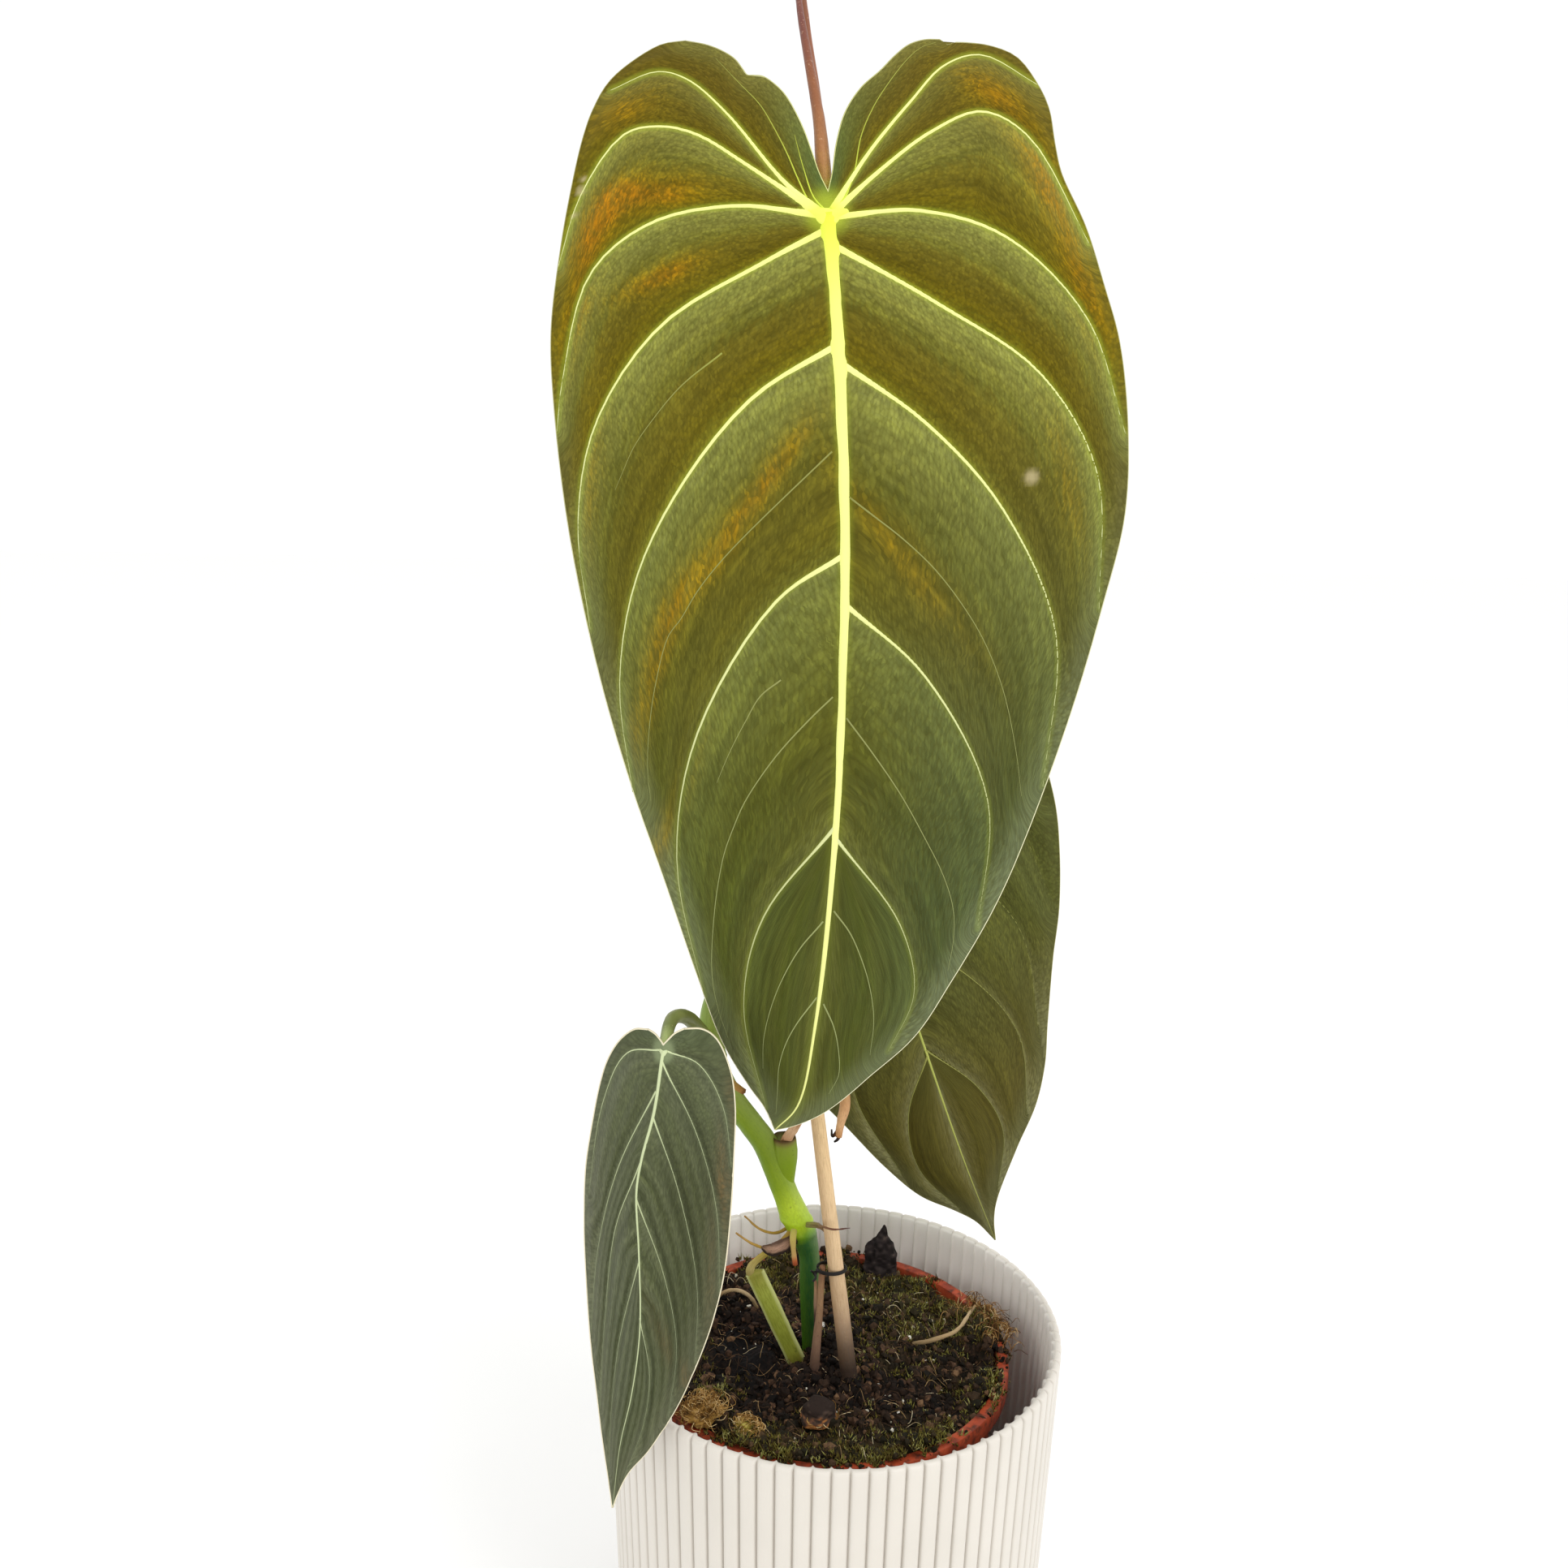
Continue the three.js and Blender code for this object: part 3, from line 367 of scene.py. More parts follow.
# The blade: each half is a grid from the tip up to the top of its lobe, running across from the
# midrib, or from the sinus edge, to the margin. Both faces share it, one a thickness behind.
def makeBlade(leaf, materials):
    lines = leaf["lines"]
    rows, lobeRows, columns = leaf["grid"]
    sinus, tip = leaf["sinus"], leaf["tip"]
    bodyZ = tip[1] + (sinus[1] - tip[1]) * np.linspace(0, 1, rows + 1)
    middleX = acrossAt(lines["midrib"], np.minimum(bodyZ, 0))
    middleX[0], middleX[-1] = tip[0], sinus[0]
    across = np.linspace(0, 1, columns + 1)[None, :]
    tops, flat = (leaf["leftTop"], leaf["rightTop"]), []
    for top, inner, outer in zip(tops, lines["inner"], lines["outer"]):
        lobe = np.arange(1, lobeRows + 1) / lobeRows
        lobeZ = sinus[1] + (top[1] - sinus[1]) * np.sin(lobe * np.pi / 2)
        z = np.concatenate([bodyZ, lobeZ])
        start = np.concatenate([middleX, acrossAt(inner, lobeZ)])
        x = start[:, None] * (1 - across) + acrossAt(outer, z)[:, None] * across
        x[-1], x[0] = top[0], tip[0]
        flat.append(np.stack([x, np.repeat(z[:, None], columns + 1, axis=1)], axis=-1))
    flat = np.array(flat)
    index = np.arange(flat[..., 0].size).reshape(flat.shape[:3])
    index[1, :rows + 1, 0] = index[0, :rows + 1, 0]
    index[:, 0, :] = index[0, 0, 0]
    index[:, -1, :] = index[:, -1, :1]
    kept, index = np.unique(index, return_inverse=True)
    index = index.reshape(flat.shape[:3])
    x, z = flat.reshape(-1, 2)[kept].T

    front = tidyFaces(np.vstack([gridQuads(index[0], turned=True), gridQuads(index[1])]))
    edges = np.vstack([np.stack([block, np.roll(block, -1, axis=1)], axis=-1).reshape(-1, 2)
                       for block in front])
    size = len(kept)
    # An edge whose way back is in no other face lies on the outline.
    rim = edges[~np.isin(edges @ [size, 1], edges @ [1, size])]
    rimFaces = np.stack([rim[:, 1], rim[:, 0], rim[:, 0] + size, rim[:, 1] + size], axis=1)
    faces = [*front, *[block[:, ::-1] + size for block in front], rimFaces]

    fields = {"edgeAway": leastAway(lines["borders"], x, z),
              "veinAway": leastAway(lines["veins"], x, z),
              "midAway": leastAway([lines["midrib"]], x, z)}
    fields["family"], fields["along"], fields["room"] = familyOf(leaf, x, z)
    fields["jointAway"], fields["height"], fields["side"] = np.hypot(x, z), z, x
    fields["warm"] = np.zeros(size) + sum(
        strength * np.exp(-((np.cos(lean) * (x - cx) + np.sin(lean) * (z - cz)) / long) ** 2
                          - ((np.cos(lean) * (z - cz) - np.sin(lean) * (x - cx)) / wide) ** 2)
        for cx, cz, long, wide, lean, strength in leaf["warmPatches"])
    fields["scar"] = np.zeros(size) + sum(
        0.8 * np.exp(-(np.hypot(x - cx, z - cz) / radius) ** 4) for cx, cz, radius in leaf["scars"])
    depth = bladeDepth(leaf, x, z)
    thick = leafThickness * (1 - 0.45 * np.exp(-(fields["edgeAway"] / 2) ** 2))
    points = np.vstack([pointsOf(x, depth, z), pointsOf(x, depth + thick, z)])
    makeLeafPiece(leaf, "Blade", points, faces, materials,
                  {key: np.tile(values, 2) for key, values in fields.items()},
                  faceMaterials=[0] * len(front) + [1] * len(front) + [0], crease=0.9)


# A rib along a line on the blade: an ellipse carried along it, as wide as the widths say, as deep
# as the blade plus how proud it stands each way, sinking into the blade where it fades out. It
# dulls with the distance from the joint by its shine and along its run by its fading.
def ribSurface(leaf, line, widths, proud, shine, fading, samples, sides=10):
    places = np.linspace(0, 1, samples + 1)
    lengths = np.concatenate([[0], np.cumsum(np.linalg.norm(np.diff(line, axis=0), axis=1))])
    x, z = (np.interp(places * lengths[-1], lengths, line[:, axis]) for axis in (0, 1))
    half = np.interp(places, np.linspace(0, 1, len(widths)), widths) / 2
    dx, dz = np.gradient(x), np.gradient(z)
    speed = np.maximum(np.hypot(dx, dz), 1e-9)
    depth = bladeDepth(leaf, x, z) + leafThickness / 2
    deep = leafThickness / 2 + proud * np.minimum(1, half / half.max() * 1.6)
    angle = fullTurn(sides)
    points = pointsOf(x[:, None] - (half * dz / speed)[:, None] * np.cos(angle),
                      depth[:, None] - deep[:, None] * np.sin(angle),
                      z[:, None] + (half * dx / speed)[:, None] * np.cos(angle))
    index = roundGrid(len(x), sides)
    first, last = np.repeat(index[[0, -1], :1], sides - 2, axis=1)
    caps = [np.stack([first, index[0, 2:-1], index[0, 1:-2]], axis=1),
            np.stack([last, index[-1, 1:-2], index[-1, 2:-1]], axis=1)]
    bright = np.exp(-shine * np.hypot(x, z) / leaf["veinFade"]) * (1 - fading * places)
    fields = np.repeat(bright, sides), np.tile(np.abs(np.cos(angle)), len(x))
    return points, [gridQuads(index), *caps], fields


def makeRibs(leaf, part, ribs, material, samples):
    surfaces = [ribSurface(leaf, *rib, samples) for rib in ribs]
    points, faces = joinSurfaces(surfaces)
    bright, across = np.hstack([fields for *_, fields in surfaces])
    makeLeafPiece(leaf, part, points, faces, [material], {"bright": bright, "across": across})


# The veins meet in a low boss, three lobes of a half ellipsoid that fan out from the stalk.
def makeJointBoss(leaf, material, rows=15, columns=48):
    width, high, length = leaf["bossSize"]
    lift = np.linspace(0, np.pi, rows)[:, None]
    turn = fullTurn(columns)
    fan = 1 + 0.22 * np.cos(3 * (turn + np.pi / 2))
    x = width * np.sin(lift) * (fan * np.cos(turn))
    z = length * np.sin(lift) * (fan * np.sin(turn)) - 0.25 * length
    depth = bladeDepth(leaf, x.ravel(), z.ravel()).reshape(x.shape)
    kept, faces = closedGrid(rows, columns)
    points = pointsOf(x, -high * np.cos(lift) + leafThickness / 2 + depth, z)[kept]
    makeLeafPiece(leaf, "Joint", points, faces, [material],
                  {"bright": np.full(len(points), 0.98), "across": np.zeros(len(points))})


# Velvet leaf blade: matt skin of tiny cells, drawn about 0.8 mm wide so that they show, with a
# nap that glows softly at a glance. Each panel runs from a cool grey-green under its upper vein,
# a painted sheen where the panel faces up to the light, to a darker warm olive above the next,
# its own colour with painted shade, and turns orange where light comes through.
def velvetMaterial(name, look):
    (material, add, family, along, room, veinAway, midAway, edgeAway, jointAway, height, side, warm,
     scar) = newMaterial(name, "family", "along", "room", "veinAway", "midAway", "edgeAway",
                         "jointAway", "height", "side", "warm", "scar")
    wander = add("Math MULTIPLY_ADD", add("TexNoise", Scale=60.0, Detail=3.0), 0.3, -0.15)
    panel = add("Math ADD", add("Math FRACT", family), wander)

    # The lower part takes its own cooler, darker ramp, and right of the midrib a painted shade
    # darkens it further.
    lower = add("MapRange", height, *look["lowSpan"])
    rightShade = add("MapRange SMOOTHSTEP", side, *look["rightShadeSpan"], None, look["rightShadeShare"])
    shaded = add("Math MULTIPLY", rightShade, lower)

    # Cells and streaks lie in rows that follow the veins.
    cellGrid, streakGrid = (
        add("CombineXYZ", add("Math MULTIPLY", family, across), add("Math MULTIPLY", along, run))
        for across, run in (look["cellRows"], look["streakRows"]))
    cells = add("TexVoronoi", voronoi_dimensions="2D", Scale=1.0, Vector=cellGrid)
    cellShade = add("SeparateColor", cells.node.outputs["Color"])
    streaks = add("TexNoise", noise_dimensions="2D", Scale=1.0, Detail=4.0, Roughness=0.65,
                  Vector=streakGrid)
    cellEdge = add("MapRange", cells, 0.25, 0.75, None, look["cellEdge"])

    # The golden to orange glow is broken by the cells and kept off the veins; the patterns
    # end before the margin.
    marginFade = add("MapRange", edgeAway, 0.5, 7.0)
    roomFade = add("MapRange", room, 3.0, 15.0, 0.15, look["streakShare"])
    streakShare = add("Math MULTIPLY", marginFade, roomFade)
    glow = add("Math MULTIPLY_ADD", add("TexNoise", Scale=34.0, Detail=4.0), 1.6, -0.1)
    for factor in (add("MapRange", cellShade, None, None, 0.55, 1.2),
                   add("MapRange SMOOTHSTEP", veinAway, 0.2, 2.2), warm):
        glow = add("Math MULTIPLY", glow, factor, use_clamp=True)

    # Green light spreads from the veins, strongest round the stalk's end.
    haloFade = add("MapRange", jointAway, look["haloReach"], 5.0, 0.25, 1.0)
    halo = add("MapRange SMOOTHERSTEP", jointAway, look["jointGlow"], 1.5, None, look["jointShare"])
    for away, width in ((veinAway, look["haloWidth"]), (midAway, look["midHaloWidth"])):
        near = add("MapRange SMOOTHERSTEP", away, width, 0.3, None, look["haloShare"])
        halo = add("Math MAXIMUM", halo, add("Math MULTIPLY", near, haloFade))

    # Darker green along the sinus near the stalk, and a painted greyish sheen where the lower edge
    # rolls away.
    inmost = add("MapRange", family, 0.8, 0.1, None, look["sinusShade"])
    sinus = add("Math MULTIPLY", inmost, add("MapRange", jointAway, 36.0, 6.0))
    rolled = add("MapRange SMOOTHSTEP", edgeAway, 9.0, 0.5, None, look["edgeSheenShare"])
    paintedEdgeSheen = add("Math MULTIPLY", rolled, lower)
    lobe = add("MapRange SMOOTHSTEP", height, 6.0, 30.0, None, look["lobeShare"])
    # The panel and low ramps hold the leaf's own colour and painted light: a painted sheen under
    # each vein and painted shade towards the next.
    panelColorShade, lowColorShade, streakTone, cellTone, glowTone = (
        add("ValToRGB", value, ramp=look[key]) for key, value in (
            ("panelColorShadeRamp", panel), ("lowColorShadeRamp", panel), ("streakRamp", streaks),
            ("cellRamp", cellShade), ("glowRamp", warm)))
    color = layerColors(add, panelColorShade, (
        (lobe, "#5a4a1c"), (lower, lowColorShade), (shaded, look["rightShadeColor"]),
        (paintedEdgeSheen, look["edgeSheenColor"]), (sinus, look["sinusColor"]), (glow, glowTone),
        (streakShare, streakTone, "OVERLAY"), (look["cellShare"], cellTone, "OVERLAY"),
        (cellEdge, look["cellEdgeColor"]), (halo, look["haloColor"]), (scar, "#b3a57c")))
    relief = add("Math MULTIPLY_ADD", cells, -0.6, streaks)
    addSurface(add, color, look["roughness"], look["gloss"], (look["bump"], 0.0002, relief), **{
        "IOR": 1.4, "Specular Tint": look["glossTint"], "Sheen Weight": look["sheen"],
        "Sheen Roughness": 0.4, "Sheen Tint": look["glossTint"]})
    return material


# Underside of a leaf: paler, smoother and netted, with less nap.
def undersideMaterial(name, look):
    material, add = newMaterial(name)
    place = add("TexCoord", output="Object")
    net = add("TexVoronoi", feature="DISTANCE_TO_EDGE", Scale=520.0, Vector=place)
    lines = add("MapRange", net, 0.12, 0.0, None, 0.35)
    cloudy = add("TexNoise", Scale=40.0, Detail=5.0, Vector=place)
    tone = add("ValToRGB", cloudy, ramp=look["underRamp"])
    addSurface(add, layerColors(add, tone, ((lines, look["underNet"]),)), 0.55, 0.3,
               (0.3, 0.0003, lines), IOR=1.4, **{"Sheen Weight": 0.1})
    return material


# Vein: smooth tissue with little green in it, so it shines out pale against the velvet.
def veinMaterial(name, ramp, flankColor):
    material, add, bright, across = newMaterial(name, "bright", "across")
    flank = add("MapRange SMOOTHSTEP", across, 0.7, 1.0, None, 0.75)
    grain = add("TexNoise", Scale=900.0, Detail=3.0, Vector=add("TexCoord", output="Object"))
    tone = add("ValToRGB", bright, ramp=ramp)
    addSurface(add, layerColors(add, tone, ((flank, flankColor),)), 0.45, 0.25,
               (0.25, 0.0002, grain), IOR=1.4)
    return material


# A leaf whole: its blade, its midrib and main side veins, its thin veins, the boss where they
# meet, and its pale edges. The midrib stays bright; side veins dull outwards, and the lower
# they start the finer they are.
def makeLeaf(leaf):
    name = leaf["name"]
    leaf = {**leaf, "lines": bladeLines(leaf)}
    makeBlade(leaf, [velvetMaterial("velvetBlade" + name.capitalize(), leaf["look"]),
                     undersideMaterial("leafUnderside" + name.capitalize(), leaf["look"])])
    mainVein = veinMaterial(name + "MainVein", *leaf["veinLook"])
    ribs = [(leaf["lines"]["midrib"], np.multiply(midribWidths, leaf["midribSize"]),
             leaf["proud"], 0.3, 0)]
    for vein in leaf["lines"]["veins"]:
        startShare = vein[0][1] / leaf["tip"][1]
        size = leaf["veinSize"] * np.interp(startShare, (0, 0.2, 0.65), (1, 0.9, 0.5))
        ribs.append((vein, np.multiply(veinWidths, size), 0.26, 1, 0.4))
    makeRibs(leaf, "Veins", ribs, mainVein, samples=150)
    if leaf["thinVeins"]:
        thin = [(splineThrough(vein, np.linspace(0, 1, 41)), leaf["thinWidths"], 0.09, 1, 0)
                for vein in leaf["thinVeins"]]
        thinVein = veinMaterial(name + "ThinVein", *leaf["thinLook"])
        makeRibs(leaf, "ThinVeins", thin, thinVein, samples=50)
    makeJointBoss(leaf, mainVein)
    borders = [(line, leaf["edgeWidths"], 0.02, 1, 0) for line in leaf["lines"]["borders"]]
    edge = veinMaterial(name + "Margin", *leaf["edgeLook"])
    makeRibs(leaf, "Margin", borders, edge, samples=150)
    print(name, "leaf made")


# Widths in millimetres from the stalk to the tip, for a midrib and for a side vein, and the
# thickness of a blade.
midribWidths = (4.9, 4.5, 4.3, 3.9, 3.4, 3.0, 2.8, 2.6, 2.4, 2.15, 2.0, 1.8, 1.5, 1.1, 0.9, 0.6)
veinWidths = (3.2, 1.8, 1.5, 1.35, 1.15, 0.95, 0.78, 0.6, 0.46, 0.34)
leafThickness = 0.8

# Each leaf has its joint at the stalk's end as origin, x to the right and z up in its own plane.
# warmPatches are where light shines through: middle x and z, half length, half width, lean and
# strength. scars are small and healed: x, z and radius. grid counts the rows up to the sinus,
# the rows of a lobe and the columns of a half. bows bend the blade back across, above riseStart
# and below fallStart. Thin side veins run between the main ones in the same arcs.
usualLeaf = dict(turn=0, splitX=0, riseStart=0, folds=(0, 0), scars=(), thinVeins=())
largeLook = dict(
    roughness=0.58, gloss=0.16, glossTint="#c8c68c", sheen=0.14, bump=0.5,
    # Panel ramps: the leaf's own colour with a painted sheen just under each vein and painted shade
    # further down the panel.
    panelColorShadeRamp=(
        (0.0, "#828448"), (0.1, "#7f813f"), (0.22, "#757437"), (0.38, "#686628"), (0.52, "#665d1e"),
        (0.68, "#615617"), (0.84, "#655911"), (1.0, "#6a6518")),
    lowColorShadeRamp=(
        (0.0, "#545c2f"), (0.2, "#4a5126"), (0.4, "#4d5225"), (0.52, "#484f20"), (0.68, "#494f25"),
        (0.84, "#4e5226"), (1.0, "#5d6035")),
    lowSpan=(-30, -165), lobeShare=0.5, rightShadeSpan=(4, 40), rightShadeShare=0.55, rightShadeColor="#44503a",
    glowRamp=((0.25, "#887418"), (0.6, "#98770e"), (1.0, "#a06c12")), haloColor="#a5b436",
    haloShare=0.45, haloWidth=1.4, haloReach=110.0, midHaloWidth=3.2, jointGlow=8.0,
    jointShare=0.85, cellRows=(32.0, 1.25), streakRows=(10.0, 0.03),
    cellRamp=((0.0, "#a2a296"), (0.5, "#bcbcb4"), (1.0, "#dadaca")), cellShare=0.6, cellEdge=0.3,
    cellEdgeColor="#454112", streakRamp=((0.3, "#a0a096"), (0.5, "#bcbcb8"), (0.72, "#dcdccc")),
    streakShare=0.7, sinusShade=0.75, sinusColor="#33502a", edgeSheenShare=0.45, edgeSheenColor="#7d8668",
    underRamp=((0.3, "#7c8a52"), (0.7, "#92a066")), underNet="#a9b57c")
largeLeaf = dict(
    name="large", joint=(-10.7, -46, 441.1), quilt=2.4, fullPanel=16, pleats=3, pleatDepth=0.07,
    grid=(236, 54, 68), veinFade=150, sinus=(0, 4.4), tip=(-8.4, -234),
    leftSinus=(
        (-2.2, 8.4), (-4.2, 13.5), (-6.5, 19), (-10.4, 25.6), (-13.4, 28.4), (-15.6, 29.7),
        (-17.6, 29.9), (-19.2, 30), (-20.4, 31.5), (-22.1, 33.6), (-24.9, 35.4), (-28.7, 36.9)),
    leftTop=(-33.7, 37.9),
    leftMargin=(
        (-39, 37.2), (-46.1, 33.3), (-51.4, 28.8), (-54.8, 23.2), (-57.2, 16.9), (-60.2, 5),
        (-62.9, -7.8), (-65.6, -26.6), (-65.2, -43.9), (-61.9, -73.6), (-54.9, -107.7),
        (-46.5, -137.1), (-38, -161.7), (-29.5, -187.6), (-22.8, -206.8), (-15.4, -220.4),
        (-11.4, -226.6)),
    rightSinus=(
        (0.9, 8.5), (1.7, 15), (3.6, 22), (7.1, 27.5), (11.5, 31.5), (14.8, 35), (18, 37.6),
        (21.5, 38.8)),
    rightTop=(25, 39),
    rightMargin=(
        (26.6, 37.9), (28.4, 38.5), (31.8, 38.6), (37.1, 38.1), (43, 36), (47.6, 30.8), (50.8, 25),
        (52.6, 16.7), (54.4, 10.5), (61, -1), (66.1, -13), (71.4, -27), (75.1, -48.2),
        (75.6, -68.2), (71.2, -90.7), (65.6, -114), (56.5, -144.1), (47.9, -167.1), (37, -188.9),
        (28.2, -204.5), (17.3, -215.9), (5.4, -227.6), (-3.4, -232.6)),
    midrib=(
        (0, 0), (2.9, -26.1), (6, -74), (6.3, -110), (5.7, -146), (1.8, -200.8), (-2.5, -226.3),
        (-8.4, -234)),
    veins=(
        ((-2, 0.4), (-10.4, 6.7), (-24, 21.8), (-32.9, 29.1), (-40, 31), (-51, 27)),
        ((-3, 0.3), (-19.3, 10.4), (-30.5, 16.8), (-39.4, 18.7), (-47.6, 17), (-58, 3.6),
         (-63.6, -12)),
        ((-2.5, -0.6), (-21.4, 1.2), (-41.6, -2.7), (-55.9, -13.9), (-63, -38), (-64.6, -50)),
        ((0.4, -3.4), (-14.7, -11.2), (-39.1, -25.7), (-54.9, -48.2), (-59.6, -72), (-56.8, -98)),
        ((3.4, -29), (-16.7, -41.5), (-34.5, -63.4), (-45.4, -86.2), (-49.4, -112), (-46.2, -139)),
        ((6.1, -78), (-10.5, -89.8), (-29.7, -123.3), (-34.8, -156), (-27.6, -194)),
        ((5.7, -146), (-12.3, -170.7), (-17.2, -196), (-10.9, -227)),
        ((1, 0.6), (9.2, 13.3), (18.5, 24.8), (26, 33.1), (34.7, 36), (48, 30)),
        ((1.4, 0), (11.7, 9.3), (23.5, 18.3), (35, 23.2), (46.1, 18.3), (62, -4.6)),
        ((1, -1), (21.6, 0.9), (42.3, -4.3), (63.1, -22), (74.4, -48)),
        ((1.3, -7), (27.2, -19.9), (52.2, -34.8), (67.8, -57.7), (70.6, -91)),
        ((3.4, -33), (24.9, -46.9), (44.7, -67), (59.7, -97.3), (58.6, -136)),
        ((6.4, -90), (26.9, -107.7), (44.3, -139.5), (43.4, -174)),
        ((5.6, -149), (23, -172.4), (27.5, -192), (21.4, -209))),
    bows=(0.001736, 0.003968, 0.001235), fallStart=-150,
    warmPatches=(
        (-38, 3.5, 13, 4.2, 0.1, 0.9), (-53, -2, 14, 5, 0.9, 0.9), (-38, -14.5, 14, 3.2, 0.4, 0.9),
        (-48, 22, 12, 5, 0.4, 0.7), (-60, -24, 18, 3.4, 1.3, 0.8), (-11, -58, 18, 3.6, 0.95, 0.6),
        (-26, -80, 24, 4.6, 0.95, 0.6), (-41, -110, 28, 4, 1.3, 0.6), (36, 28, 12, 5, -0.5, 0.7),
        (50, 10, 15, 5.5, -1.0, 0.8), (62, -16, 20, 4.6, -1.1, 0.8), (60, -60, 22, 4, -1.3, 0.5),
        (24, -82, 26, 4, -0.9, 0.4), (-56, -60, 26, 3.4, 1.45, 0.5), (-38, -150, 26, 3, 1.2, 0.45),
        (12, -70, 24, 3, -0.95, 0.3)),
    scars=((50.8, -58.8, 1.7), (-57.9, 4.7, 1.0), (-57.2, 7.4, 0.7), (-59.4, -0.6, 0.6)),
    thinVeins=(
        ((-0.8, 0.3), (-4.1, 2.2), (-6.9, 6.9), (-9.6, 12.4), (-12.9, 18.2), (-15.9, 22.8),
         (-19.5, 26.6), (-23.5, 30.6), (-26.4, 33.6)),
        ((-0.6, 0.5), (-3.4, 3.4), (-6, 9.9), (-8, 16.6)),
        ((-24.1, -31.7), (-33.9, -39.4), (-41, -47.6), (-45.2, -53.5), (-48.2, -59.9),
         (-49.9, -63.7)),
        ((2.3, -53.7), (-18.8, -74.5), (-25.3, -81.7), (-29.8, -87.7), (-33.8, -94.5),
         (-36.8, -98.6), (-40.1, -111.1), (-41.6, -121.6), (-42.2, -132.3), (-41.4, -140.9)),
        ((4, -112.9), (-1.5, -118.3), (-8.6, -126.3), (-13.6, -133.3), (-17.8, -140.5),
         (-20.2, -146.5), (-22.4, -153), (-23.8, -160.2), (-24.8, -168.1), (-25.6, -186.2),
         (-24.1, -196.2), (-21.3, -205.4)),
        ((-8.9, -108.7), (-13.9, -112.9), (-17.5, -119.3), (-21.4, -127.3), (-24.6, -135.3)),
        ((3, -171.4), (-2.7, -178.3), (-7, -186.6), (-10, -195.5), (-11.8, -205), (-11.9, -214.3)),
        ((1.9, -192.9), (-2.9, -199.6), (-6, -206), (-7.6, -212.9), (-7.9, -220.5), (-8.2, -228.5)),
        ((1.2, 0.4), (4, 3.6), (5.8, 8.5), (7.2, 16.6), (9.9, 23), (13.7, 29.1), (17.3, 33.8),
         (20.6, 36.9), (24, 38.3)),
        ((7.6, -118.2), (14.1, -126.5), (21.6, -137.1), (28.5, -149), (33.1, -157.8),
         (36.2, -166.6), (37, -174.7), (36.1, -185.1)),
        ((5.8, -168.5), (10, -174), (13.4, -181.7), (15.5, -188.6), (17, -198.2), (16.5, -209.4)),
        ((3.8, -194.7), (6.5, -200.6), (8, -207.4), (8.3, -215.1), (5.9, -221.4)),
        ((6.7, -64.2), (12.5, -68.5), (19.5, -73.6), (27.8, -80.9), (35.2, -89.7), (41.1, -98.7),
         (46.5, -110.9), (50.4, -125.4), (52.8, -138.1))),
    thinWidths=(0.8, 0.55, 0.42, 0.36, 0.22),
    thinLook=(
        ((0.2, "#939b66"), (0.45, "#8d9054"), (0.7, "#8c8c48"), (0.88, "#a8b040"),
         (1.0, "#d6e84a")),
        "#6f7038"),
    midribSize=1.05, veinSize=0.95, proud=0.6, edgeWidths=(0.45, 0.55, 0.6, 0.55),
    bossSize=(4.9, 0.9, 2.1),
    veinLook=(
        ((0.05, "#98a066"), (0.2, "#abb078"), (0.36, "#d2d698"), (0.6, "#ecee98"), (0.9, "#f2f690"),
         (0.96, "#eef47c"), (1.0, "#dff040")),
        "#a2a94e"),
    edgeLook=(((0.2, "#efebc8"), (0.45, "#cfcda0"), (0.7, "#a5a272"), (1.0, "#d8dc90")), "#a3a070"),
    look=largeLook)

